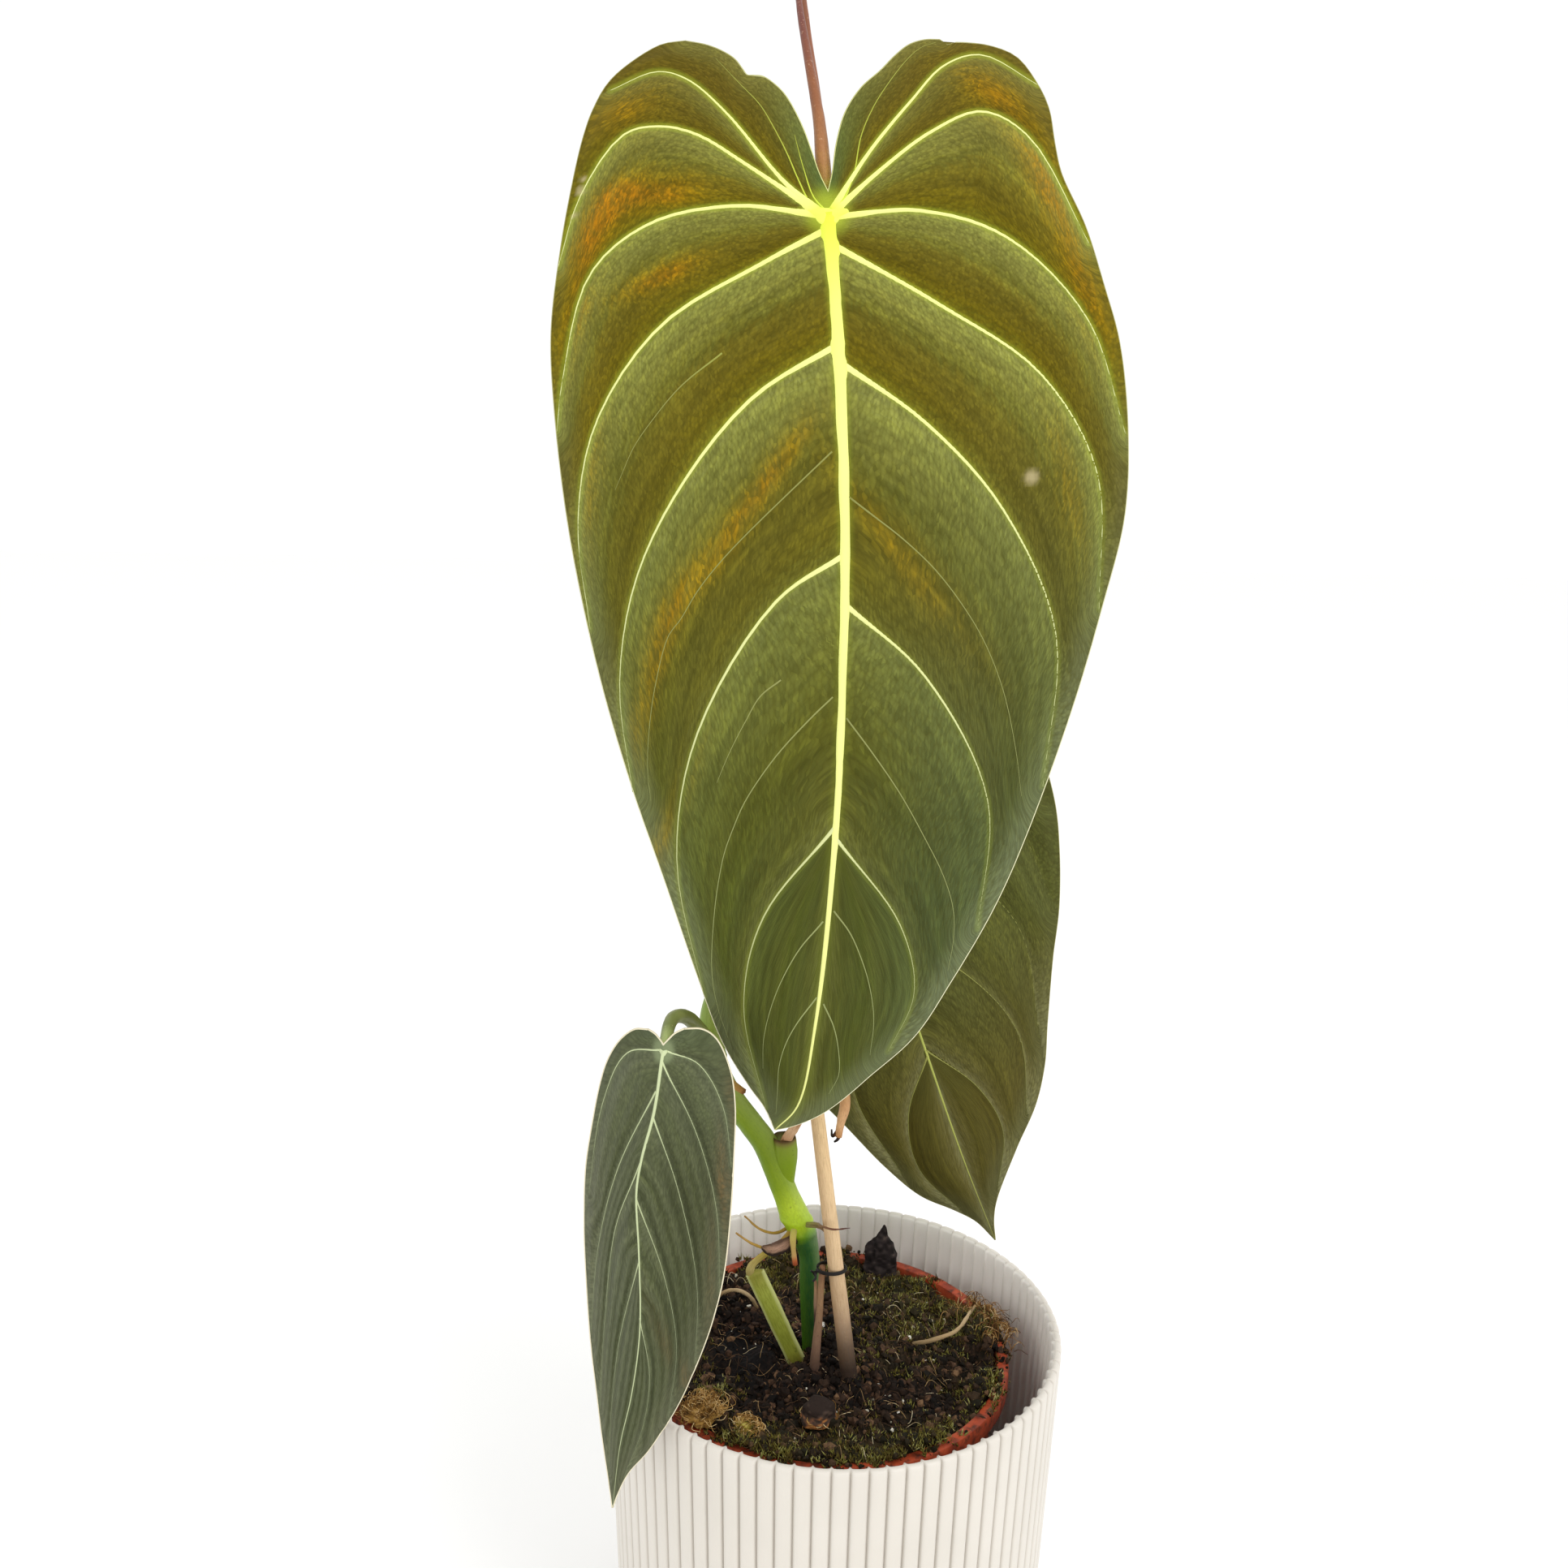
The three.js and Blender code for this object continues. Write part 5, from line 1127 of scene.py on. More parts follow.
# Fibres lie on the soil: bowed arcs whose height follows it, lifted in the middle.
def makeFibres(name, look, ramp):
    draw = np.random.default_rng(look["seed"])

    def fibrePath():
        x, y = look["placeAt"](draw)
        length, heading = draw.uniform(*look["length"]), draw.uniform(0, 2 * np.pi)
        bend, steps = draw.uniform(-1.1, 1.1), np.linspace(-0.5, 0.5, 5)
        xs = x + np.cumsum(np.cos(heading + bend * steps)) * length / 5
        ys = y + np.cumsum(np.sin(heading + bend * steps)) * length / 5
        lift = look["lift"] * length * (0.25 - steps ** 2) * draw.uniform(0.2, 1.6)
        return pointsOf(xs, ys, soilHeight(xs, ys) + look["above"] + lift)

    makeThreads(name, draw, (fibrePath() for _ in range(look["count"])),
                (look["radius"], look["radius"] * 0.6), (0, 0, 1), 12,
                looseMaterial(look["skin"], ramp, 900.0, 0.0001), "potting_soil", "soil")


def placeOnSoil(draw):
    radius, angle = 50 * np.sqrt(draw.random()), draw.uniform(0, 2 * np.pi)
    middleX, middleY = nurseryPot["middle"]
    return middleX + radius * np.cos(angle), middleY + radius * np.sin(angle)


def placeOnRim(draw):
    x, y = rimTufts[draw.integers(len(rimTufts))]
    return x + draw.normal(0, 2.0), y + draw.normal(0, 2.0)


rimTufts = ((43.8, 27.9), (54.4, 7.9), (51, 21.2), (48, 24), (52.5, 14))
makeFibres("rimTufts", {
    "skin": "coirStrand", "seed": 12, "count": 420, "length": (2, 7), "radius": 0.13,
    "lift": 1.2, "above": 0.4, "placeAt": placeOnRim,
}, ((0.1, "#4a3018"), (0.5, "#805a30"), (0.8, "#ac8450"), (1.0, "#d8bc8c")))
makeFibres("soilFibres", {
    "skin": "dryFibre", "seed": 8, "count": 640, "length": (1.5, 9), "radius": 0.1,
    "lift": 0.5, "above": 0.35, "placeAt": placeOnSoil,
}, ((0.1, "#3a291c"), (0.5, "#6c5238"), (0.8, "#a88a5e"), (1.0, "#e2d4b0")))
print("soil dressed")


# One or more tubes as one piece. Each vertex keeps its place along the tube, its distance in
# millimetres and the cosine and sine of its turn, so that patterns follow the run of the tube.
# rings are (z, height, width) swellings: height * exp(-((z - place) / width) ** 2). lumps are
# (cell, height, stretch) noises. What the piece doesn't say comes from the usual tube.
usualTube = dict(guide=(0, 1, 0), sides=16, steps=40, squeeze=1.0, dome=0.5, rings=(), lumps=())


def makeTubes(name, piece, material, slotName, node):
    surfaces, fields = [], []
    for number, tube in enumerate(piece.get("tubes", ({},))):
        tube = {**usualTube, **piece, **tube}
        path = tube["path"]
        points, faces, along, around = tubeSurface(path, *(
            tube[key] for key in ("radii", "guide", "sides", "steps", "squeeze", "dome")))
        outward = points - splineThrough(path, along)
        outward /= np.maximum(np.linalg.norm(outward, axis=1, keepdims=True), 1e-6)
        swelling = sum(height * np.exp(-((points[:, 2] - z) / width) ** 2)
                       for z, height, width in tube["rings"])
        lumps = sum(height * latticeNoise(points * (1, 1, stretch), cell, 40 + number)
                    for cell, height, stretch in tube["lumps"])
        surfaces.append((points + outward * np.reshape(swelling + lumps, (-1, 1)), faces))
        steps = np.diff(splineThrough(path, np.linspace(0, 1, 60)), axis=0)
        length = np.linalg.norm(steps, axis=1).sum()
        fields.append((along, along * length, np.cos(around), np.sin(around)))
    points, faces = joinSurfaces(surfaces)
    fields = dict(zip(("along", "distance", "ringX", "ringY"), np.hstack(fields)))
    makePiece(name, points, faces, [material], slotName, node, fields)


# Plant skin: a colour ramp along a value, corky flecks, fine lengthwise streaks, dull gloss.
# The value is the place along the tube, or a height z - slant * x within a span of heights.
# A tint is a field, the values where it starts and is full, its share and its colour.
usualSkin = dict(
    drift=0.1, streakStep=0.06, streakScale=7.0, streakShare=0.3, fleckScale=1300.0,
    fleckFrom=0.66, fleckShare=0.5, tints=(), roughness=0.45, bump=0.35)


def skinMaterial(name, look):
    material, add, along, distance, ringX, ringY = newMaterial(
        name, "along", "distance", "ringX", "ringY")
    look, value, tinted = {**usualSkin, **look}, along, {"along": along, "ringX": ringX}
    place = add("TexCoord", output="Object")
    if "slant" in look:
        axes = add("SeparateXYZ", place)
        leaned = add("Math MULTIPLY_ADD", axes, -look["slant"], axes.node.outputs["Z"])
        value = add("MapRange", leaned, *(height * metre for height in look["span"]))
    soft = add("TexNoise", Scale=180.0, Detail=4.0, Vector=place)
    shifted = add("Math MULTIPLY_ADD", soft, look["drift"], -0.5 * look["drift"])
    run = add("Math MULTIPLY", distance, look["streakStep"])
    streak = add("TexNoise", Scale=look["streakScale"], Detail=5.0, Roughness=0.6,
                 Vector=add("CombineXYZ", ringX, ringY, run))
    dots = add("TexNoise", Scale=look["fleckScale"], Detail=2.0, Vector=place)
    layers = [(add("MapRange", source, low, high, None, share), tint)
              for source, low, high, share, tint in (
                  (streak, 0.4, 0.75, look["streakShare"], look["streakColor"]),
                  (dots, look["fleckFrom"], 0.74, look["fleckShare"], look["fleckColor"]),
                  *((tinted[key], *rest) for key, *rest in look["tints"]))]
    tone = add("ValToRGB", add("Math ADD", value, shifted), ramp=look["ramp"])
    addSurface(add, layerColors(add, tone, layers), look["roughness"], 0.25,
               (look["bump"], 0.0003, add("Math ADD", streak, dots)))
    return material


# Makes each named piece in its own skin, all in place of one node.
def makeSkinned(slotName, node, **pieces):
    for name, piece in pieces.items():
        material = skinMaterial(piece.get("skin", name + "Skin"), piece)
        makeTubes(name, piece, material, slotName, node)


# Living stem: dark green under the node, a lime knuckle at it and lime above, a painted shade
# of darker green on its left side and a painted paler grey-green on the lit right side; small
# brown lenticels and faint lengthwise ribs.
stemInternodes = dict(
    skin="climbingStem",
    path=(
        (-5.5, 2, 88), (-6.4, 2, 114), (-7.4, 2, 133), (-8, 2, 147), (-10, 2, 154), (-12.8, 2, 160),
        (-15.2, 2, 166), (-18.2, 2, 174), (-22.2, 2, 183.5), (-27.2, 2, 190.5), (-33, 3, 198),
        (-38, 5, 209), (-38, 7, 223), (-32, 8.5, 240), (-25, 9, 256), (-21, 9, 273),
        (-19, 9, 291)),
    radii=(2.9, 3.0, 3.1, 3.2, 4.1, 4.4, 3.9, 3.8, 3.9, 3.8, 3.8, 4, 4.2, 4.1, 4, 3.8, 2.2),
    sides=40, steps=230,
    rings=(
        (158.5, 0.35, 1.0), (154.2, 0.2, 0.8), (210.5, 0.35, 0.9), (255.5, 0.3, 0.9),
        (272, 0.3, 0.9)),
    lumps=((6.0, 0.22, 0.25), (1.6, 0.07, 0.2)), slant=0.55, span=(95, 300), drift=0.02,
    roughness=0.38,
    ramp=(
        (0.05, "#231a12"), (0.09, "#1f2a14"), (0.13, "#1c3c18"), (0.22, "#204c22"),
        (0.3, "#2a5c2e"), (0.315, "#6d9a1e"), (0.33, "#b4d428"), (0.37, "#c2dc34"),
        (0.415, "#90aa1c"), (0.47, "#7f971a"), (0.55, "#869e26"), (0.62, "#9aac44"),
        (0.75, "#8c9a4a"), (1.0, "#7c8746")),
    # Painted light: darker green on the left side, paler grey-green on the lit right side.
    tints=(("ringX", 0.1, 0.95, 0.35, "#5d8a06"), ("ringX", -0.2, -0.95, 0.25, "#a3b077")),
    streakColor="#5f7a1c", fleckColor="#5a5424", fleckFrom=0.7)
makeSkinned("green_stem", "stem", stemInternodes=stemInternodes)

# Stub of a cut branch: a green sleeve with a dry brown lip round a sunken cut, spun from a
# profile of (radius, height) rows round the line from start to end.
cutBranch = dict(
    start=(-15.4, 2.4, 166.5), end=(-16.3, 1.4, 186), sides=36,
    profile=(
        (0, 0), (1.8, 0.2), (2.6, 4), (3.2, 8), (3.8, 12), (3.95, 15), (3.75, 17.2), (3.65, 18.6),
        (3.45, 19.5), (3.2, 19.8), (3.0, 19.2), (2.6, 17.8), (1.6, 17.1), (0, 16.9)),
    ramp=(
        (0.0, "#8ea61c"), (0.3, "#84a01c"), (0.48, "#869a2c"), (0.56, "#7c7034"), (0.62, "#54381c"),
        (0.74, "#4a3418"), (0.84, "#6f7430"), (1.0, "#7c8a38")),
    drift=0.05, streakColor="#5f6a20", fleckColor="#40301a", roughness=0.5)


def makeCutBranch(branch):
    start, end = np.array(branch["start"]), np.array(branch["end"])
    axis = unit(end - start)
    first = unit(np.cross(axis, (0, 1, 0)))
    second = np.cross(axis, first)
    angle = fullTurn(branch["sides"])
    ring = np.cos(angle)[:, None] * first + np.sin(angle)[:, None] * second
    rows = np.array(branch["profile"], dtype=float)
    kept, faces = closedGrid(len(rows), len(angle))
    points = start + rows[:, None, 1:2] * axis + rows[:, None, :1] * ring
    points = points.reshape(-1, 3)[kept]
    along = np.repeat(np.linspace(0, 1, len(rows)), len(angle))[kept]
    ragged = 0.35 * latticeNoise(points, 2.4, 61) * np.clip(along * 3 - 1, 0, 1)
    makePiece("cutBranch", points + ragged[:, None] * axis, faces,
              [skinMaterial("cutBranchSkin", branch)], "green_stem", "stem", {"along": along})


makeCutBranch(cutBranch)

# Outgrowths of the stem: a tan husk that stands out of the cut branch; an aerial root that
# arches out behind the big leaf, with a swollen bend and a dark forked tip; short roots at the
# nodes, a yellowish one with a red tip and an ochre-brown one; wiry roots left of the node and
# thin tendrils across the stake; a dry pinkish sheath between the roots, its lower edge dark
# with painted shade.
stemGrowths = dict(
    branchHusk=dict(
        skin="dryHusk",
        path=((-16.4, 0.6, 183), (-15.4, -0.6, 186.4), (-13.8, -2, 189.6), (-11.6, -3, 194)),
        radii=(1.5, 1.7, 1.45, 0.9), squeeze=0.6, sides=20,
        lumps=((1.6, 0.25, 0.3), (0.6, 0.08, 0.5)),
        ramp=((0.0, "#a87048"), (0.3, "#d0a074"), (0.7, "#e6c29c"), (1.0, "#cf9a6c")),
        streakColor="#9a6238", streakShare=0.6, fleckColor="#6a3c22", roughness=0.65, bump=0.7),
    archingRoot=dict(
        skin="aerialRootCork",
        path=(
            (-24, 8, 254), (-17, 4, 243), (-7, -1, 223), (-0.5, -3.6, 208), (1.4, -4.4, 200),
            (0.4, -4.8, 194), (-0.2, -5, 189.5)),
        radii=(2, 1.7, 1.6, 1.75, 1.7, 1.25, 0.95), sides=20, steps=90,
        lumps=((3.0, 0.25, 0.6), (0.8, 0.08, 0.4)), rings=((205.4, 0.35, 2.4),),
        ramp=(
            (0.0, "#8a8a40"), (0.45, "#a88a50"), (0.68, "#d0a070"), (0.85, "#e2b686"),
            (1.0, "#c08a58")),
        # Painted shade: one side of the root is darker.
        tints=(("ringX", 0.2, 0.9, 0.3, "#9a6a40"),), streakColor="#8a5a34", streakShare=0.45,
        fleckColor="#6a4426", roughness=0.6, bump=0.6),
    archingRootTip=dict(
        skin="deadRootTip",
        tubes=(
            dict(
                path=((-0.5, -4.9, 191), (-2.0, -5.2, 189.6), (-2.3, -5.2, 191.8)),
                radii=(0.7, 0.4, 0.25)),
            dict(
                path=((0.1, -5, 190.6), (-0.4, -5.1, 188.6), (-1.4, -5.2, 187.8)),
                radii=(0.8, 0.5, 0.3))),
        sides=10, steps=12, ramp=((0.0, "#6a4426"), (0.4, "#2c1d14"), (1.0, "#1c1410")),
        streakColor="#1c1410", fleckColor="#3a2a1c", roughness=0.6),
    hangingRoot=dict(
        path=((-12.2, 0.3, 158), (-13.1, -3.2, 155), (-12.8, -4, 150.6), (-12.2, -4, 146.3)),
        radii=(1.1, 1.0, 0.75, 0.85), lumps=((1.2, 0.1, 0.5),),
        ramp=(
            (0.0, "#9aa53c"), (0.35, "#c4b45c"), (0.75, "#cfa668"), (0.88, "#c06038"),
            (1.0, "#8e3a22")),
        streakColor="#a08a40", fleckColor="#7a5a30", roughness=0.5),
    sideRoot=dict(
        path=((-36, 6, 210.5), (-33, 0, 204.4), (-28.5, -2, 201.8)), radii=(1.3, 1.15, 0.95),
        steps=30, lumps=((1.2, 0.1, 0.5),),
        ramp=((0.0, "#a8a048"), (0.5, "#c49e54"), (0.9, "#ac7e3e"), (1.0, "#7a5028")),
        streakColor="#8a6430", fleckColor="#5a3a1c", roughness=0.55),
    wireRoots=dict(
        tubes=(
            dict(
                path=(
                    (-11.6, 1, 157.5), (-15.2, -1.2, 153.4), (-19, -2, 150.2),
                    (-22.4, -2.4, 148.9)),
                radii=(1.3, 1.1, 1.0, 0.5)),
            dict(
                path=((-17, -2, 152.2), (-21, -2, 150.5), (-25.6, -2.4, 152.2), (-30.5, -3, 156)),
                radii=(0.6, 0.5, 0.42, 0.25)),
            dict(
                path=((-12, 2, 157.5), (-18, 1, 154), (-23, 1, 155), (-28, 0, 160)),
                radii=(0.6, 0.5, 0.4, 0.25))),
        guide=(0, 0.3, 1), sides=10, steps=36, lumps=((1.0, 0.08, 1.0),),
        ramp=((0.0, "#8f7a22"), (0.4, "#ab8a34"), (0.75, "#c09a50"), (1.0, "#b08a4a")),
        streakColor="#6a4f1c", streakShare=0.5, fleckColor="#5a3f1a", roughness=0.6),
    tendrils=dict(
        tubes=(
            dict(
                path=(
                    (-9.4, 0.4, 157.6), (-6, -9, 163), (-4.5, -16.8, 166.6), (-1.5, -18.6, 166.8),
                    (3.4, -17, 166.4)),
                radii=(0.6, 0.45, 0.36, 0.3, 0.16)),
            dict(
                path=(
                    (-9, -1.2, 158), (-5, -6.4, 160.4), (-2.6, -10.2, 160.2),
                    (-1.4, -10.8, 158.9)),
                radii=(0.7, 0.55, 0.42, 0.2))),
        guide=(0, 0.3, 1), sides=10, steps=36, lumps=((1.0, 0.08, 1.0),),
        ramp=((0.0, "#9a9a58"), (0.4, "#8a6a48"), (0.75, "#6e4432"), (1.0, "#4a3030")),
        streakColor="#5a3a2a", fleckColor="#3a241a", roughness=0.55),
    drySheath=dict(
        path=((-12.6, -1.6, 153.6), (-15.8, -2.6, 151.8), (-19.2, -3, 150.6), (-22.4, -2.8, 151.2)),
        radii=(1.7, 2.5, 2.4, 1.0), squeeze=0.28, sides=28,
        lumps=((2.2, 0.5, 0.8), (0.8, 0.2, 0.8)),
        ramp=((0.0, "#8a6a50"), (0.5, "#bf9a82"), (1.0, "#9c7c60")),
        # Painted shade along the lower edge, where the sheath's rim lies in shadow; the upper edge
        # is darker too.
        tints=(("ringX", 0.3, 0.6, 0.95, "#1d1512"), ("ringX", -0.4, -0.8, 0.8, "#3a261c")),
        streakColor="#5a3c2c", streakShare=0.8, fleckColor="#4a3226", roughness=0.75))
makeSkinned("green_stem", "stem", **stemGrowths)
print("stem made")

# Leaf stalks. The big one is reddish brown and darkens at its top; the others are olive.
stalkBody = dict(guide=(1, 0, 0), lumps=((2.2, 0.06, 0.4),), fleckScale=1700.0)
leafStalks = dict(
    large=dict(
        path=(
            (-18.6, 8.5, 290), (-17.8, 12, 320), (-16, 18, 365), (-13.6, 25, 412), (-11.4, 31, 452),
            (-12, 33, 479), (-16, 28.5, 501), (-18.6, 12, 513), (-19, -4, 507), (-18.2, -15, 494.5),
            (-15.7, -27, 478.3), (-13, -37, 462.6), (-12, -41.6, 452.7), (-10.8, -42.7, 443.2)),
        radii=(3.4, 2.2, 1.8, 1.6, 1.4, 1.3, 1.1, 0.9, 0.82, 0.8, 1.05, 1.45, 1.75, 1.6), sides=24,
        steps=300,
        ramp=(
            (0.0, "#6f7a3c"), (0.2, "#8a6a48"), (0.45, "#9c6650"), (0.72, "#703c34"),
            (0.8, "#8c5434"), (0.9, "#b07a4c"), (0.96, "#b88e4c"), (1.0, "#b8d044")),
        streakColor="#764628", streakShare=0.45, fleckColor="#dcb898", roughness=0.35,
        slot="red_brown_stalk"),
    back=dict(
        path=(
            (-21, 9.5, 268), (-13.4, 13, 290), (-9, 17, 316), (-7.6, 23, 341), (-8.8, 29.5, 350),
            (-11.6, 32.6, 337), (-12.6, 29.8, 310.6)),
        radii=(3, 2, 1.7, 1.6, 1.6, 1.6, 1.5), sides=22, steps=130,
        ramp=((0.0, "#7f8c42"), (0.5, "#868648"), (0.9, "#8f8f4c"), (1.0, "#a0ac4a")),
        streakColor="#6a5a34", fleckColor="#c8c08a", slot="olive_stalk"),
    front=dict(
        path=(
            (-38, 4, 211), (-40.5, -10, 223), (-44, -28, 235.6), (-46.8, -45, 241.4),
            (-47.6, -57.2, 238.8)),
        radii=(3, 2.3, 2, 1.8, 1.5), sides=22, steps=90,
        ramp=((0.0, "#8a9a44"), (0.5, "#7c8442"), (0.85, "#6f7a44"), (1.0, "#b4c47c")),
        streakColor="#6a5a34", fleckColor="#c8c08a", slot="olive_stalk"))
for key, stalk in leafStalks.items():
    stalk = {**stalkBody, **stalk}
    makeSkinned(stalk["slot"], "leaf_stalk_" + key, **{key + "LeafStalk": stalk})

# Dead stalk: a dried strap with pale raised edges, an angular foot and a folded dry end.
deadPieces = dict(
    deadStalk=dict(
        path=(
            (-8.2, -3, 99), (-8.9, -3, 106), (-11, -3, 112), (-14.4, -3, 120), (-18, -3, 128),
            (-21.2, -3, 135.4), (-24.4, -3, 142.6)),
        radii=(2.1, 2.7, 3.1, 2.95, 3.0, 3.1, 3.1), squeeze=0.4, sides=32, steps=90,
        lumps=((5.0, 0.2, 0.3), (1.2, 0.06, 0.4)),
        ramp=(
            (0.1, "#4a4020"), (0.22, "#8a8436"), (0.32, "#a3a23c"), (0.5, "#959c38"),
            (0.85, "#a8b04a"), (1.0, "#8f8a3a")),
        tints=(
            ("ringX", 0.62, 0.9, 0.7, "#d5da94"), ("ringX", -0.62, -0.9, 0.7, "#d5da94"),
            ("along", 0.42, 0.28, 0.55, "#5f4a26")),
        streakColor="#6f7a22", streakShare=0.75, fleckColor="#4a5a1c", fleckScale=420.0,
        roughness=0.55),
    deadStalkEnd=dict(
        path=(
            (-24.2, -3, 141.2), (-26, -3.4, 143.2), (-25.2, -3.2, 145.6), (-21.6, -2.6, 148.8),
            (-17.6, -2, 151.2)),
        radii=(1.5, 1.3, 1.2, 1.0, 0.6), squeeze=0.45, sides=20, steps=50,
        lumps=((1.4, 0.14, 0.5),),
        ramp=((0.0, "#8f8440"), (0.4, "#b8a868"), (0.8, "#a8943c"), (1.0, "#8f7f2c")),
        streakColor="#6a5a2c", streakShare=0.6, fleckColor="#5a4a24", roughness=0.7))
makeSkinned("withered_stalk", "dead_stalk", **deadPieces)
print("stalks made")

# Stake: a split bamboo or spruce rod, pale tan with fine grain and a soil-stained foot. The
# side stick is a twig of the same wood gone pinkish, split at its top.
stakeRod = dict(
    skin="weatheredRod",
    path=(
        (17.7, -13.9, 20), (5.25, -13.9, 111.25), (-7.2, -13.9, 202.5), (-19.65, -13.9, 293.75),
        (-32.1, -13.9, 385)),
    radii=(2.7, 2.6, 2.05, 1.8, 1.6), sides=32, steps=220, dome=0.15,
    lumps=((7.0, 0.1, 0.12), (1.3, 0.04, 0.1)), slant=0.0, span=(90, 385), drift=0.03,
    roughness=0.6, bump=0.5,
    ramp=(
        (0.12, "#8a7460"), (0.15, "#b2977a"), (0.19, "#d2b48e"), (0.24, "#e2c49a"),
        (0.4, "#e4c492"), (1.0, "#d8b480")),
    # Painted shade: the left side of the rod is darker; the dark foot is a soil stain.
    tints=(("ringX", 0.1, 0.95, 0.3, "#b98f5e"), ("along", 0.315, 0.27, 0.93, "#2c201a")),
    streakColor="#a98258", streakShare=0.55, streakScale=9.0, streakStep=0.03, fleckColor="#8a6a4a",
    fleckShare=0.3)
makeSkinned("stake_wood", "stake", stakeRod=stakeRod)
sideStick = dict(
    skin="dryTwig",
    tubes=(
        dict(
            path=((-6.3, -9.8, 98), (-5.9, -10.8, 112), (-5.1, -12, 130), (-4.2, -13.9, 152)),
            radii=(1.7, 1.55, 1.25, 0.9), sides=20, steps=80,
            lumps=((3.0, 0.14, 0.2), (0.9, 0.05, 0.2))),
        dict(
            path=((-5.4, -11.6, 128), (-5.9, -12.6, 137), (-6.2, -13.3, 146.6)),
            radii=(0.8, 0.6, 0.45), sides=12, steps=30, lumps=((1.6, 0.1, 0.3),))),
    dome=0.2, ramp=((0.4, "#6f5546"), (0.6, "#94745c"), (0.85, "#a88560"), (1.0, "#8a6244")),
    tints=(("along", 0.55, 0.3, 0.9, "#2c201a"),), streakColor="#745646", streakShare=0.6,
    fleckColor="#5a4236", roughness=0.7, bump=0.6)
makeSkinned("stick_wood", "side_stick", sideStick=sideStick)

# Tie: black coated wire, wound twice round stake and side stick, ends twisted at the left.
tie = dict(
    z=151.4, wire=0.34, left=-5.75, right=2.7, halfDepth=3.0, y=-13.9,
    ends=(
        ((-5.9, -14, 149.9), (-6.6, -15, 150.6), (-6.2, -16, 149.6), (-7.0, -16.6, 148.6)),
        ((-5.9, -14, 150.9), (-6.4, -15.4, 149.9), (-7.0, -15.6, 150.9), (-7.6, -16.4, 151.9))),
    color="#15110f")


def makeTie(look, material):
    middle, half = (look["left"] + look["right"]) / 2, (look["right"] - look["left"]) / 2
    turn = np.linspace(-np.pi, 3 * np.pi, 60)
    loops = pointsOf(middle + half * np.cos(turn), look["y"] + look["halfDepth"] * np.sin(turn),
                     look["z"] - 0.5 + (turn + np.pi) / (4 * np.pi))
    points, faces = joinSurfaces([
        tubeSurface(path, (look["wire"],) * 2, (0.1, 0.2, 1), sides=10, steps=steps)
        for path, steps in ((loops, 160), *((end, 24) for end in look["ends"]))])
    makePiece("wireTie", points, faces, [material], "tie_wire", "stake_tie")


wireMaterial, addWire = newMaterial("blackCoatedWire")
addSurface(addWire, tie["color"], 0.5, 0.3)
makeTie(tie, wireMaterial)
print("stake and tie made")


# Lumps of bark and coir: a ball d of 96 x 56 directions, roughened by
# 1 + 0.07 sin(5x + s) cos(4y - s) + 0.05 sin(7z + 2s), narrowed upwards by 1 - point * z,
# scaled by its half sizes, then given ridges of lattice noise. Bark is dull and furrowed; coir
# is a mat of fine fibres, so it scatters light broadly.
litter = dict(
    barkChip=dict(
        at=(18.4, 47.4, 118), half=(6.2, 2.7, 12), turn=-15, seed=3, point=0.66,
        relief=((3.4, 0.9, 0.5), (1.2, 0.4, 0.6)), slot="dark_bark", node="bark_chip",
        ramp=((0.15, "#15100f"), (0.45, "#272020"), (0.75, "#3a3230"), (0.95, "#574b45"))),
    barkNugget=dict(
        at=(-4.9, -31.8, 115.5), half=(5.2, 4.8, 4.8), turn=10, seed=5, point=0.1,
        relief=((2.2, 0.35, 1.0), (0.8, 0.14, 1.6)), slot="brown_bark", node="bark_nugget",
        ramp=(
            (0.1, "#2a201b"), (0.4, "#46382f"), (0.58, "#6a4a38"), (0.7, "#a06a3c"),
            (0.95, "#cf8c50")),
        bottomTone=0.75, fibres=24, fibreSeed=6, fibreLength=(1.5, 3.4), upward=0.1, lift=0.15),
    coirLumpLeft=dict(
        at=(-38.1, -34.4, 117.4), half=(5.8, 4.4, 3.6), turn=25, seed=7, point=0.3,
        relief=((2.6, 1.0, 1.6), (0.8, 0.5, 2.0)), slot="coir_fibre", node="coir_lump_left",
        ramp=((0.15, "#4a3418"), (0.4, "#86642e"), (0.65, "#b08a48"), (0.95, "#d8b478")),
        fibres=340, fibreSeed=3, fibreLength=(1.5, 5.0), upward=1.0, lift=0.6),
    coirLumpRight=dict(
        at=(-25.6, -38.6, 114.2), half=(5.4, 3.4, 3.6), turn=-12, seed=9, point=0.1,
        relief=((2.4, 0.9, 1.6), (0.8, 0.45, 2.0)), slot="coir_fibre", node="coir_lump_right",
        ramp=((0.15, "#443a14"), (0.4, "#786a26"), (0.65, "#a0903c"), (0.95, "#c6b868")),
        fibres=300, fibreSeed=4, fibreLength=(1.2, 3.8), upward=1.0, lift=0.4))


def lumpPoints(lump, direction):
    x, y, z = direction.T
    seed, turn = lump["seed"], np.radians(lump["turn"])
    rough = (1 + 0.07 * np.sin(5 * x + seed) * np.cos(4 * y - seed)
             + 0.05 * np.sin(7 * z + 2 * seed))
    points = direction * rough[:, None] * np.array(lump["half"])
    points[:, :2] *= (1 - lump["point"] * np.maximum(0, z))[:, None]
    for number, (cell, size, stretch) in enumerate(lump["relief"]):
        ridges = latticeNoise(points * (1, 1, stretch), cell, seed + number)
        points += direction * size * ridges[:, None]
    points[:, :2] = points[:, :2] @ np.array([(np.cos(turn), np.sin(turn)),
                                             (-np.sin(turn), np.cos(turn))])
    return points + np.array(lump["at"])


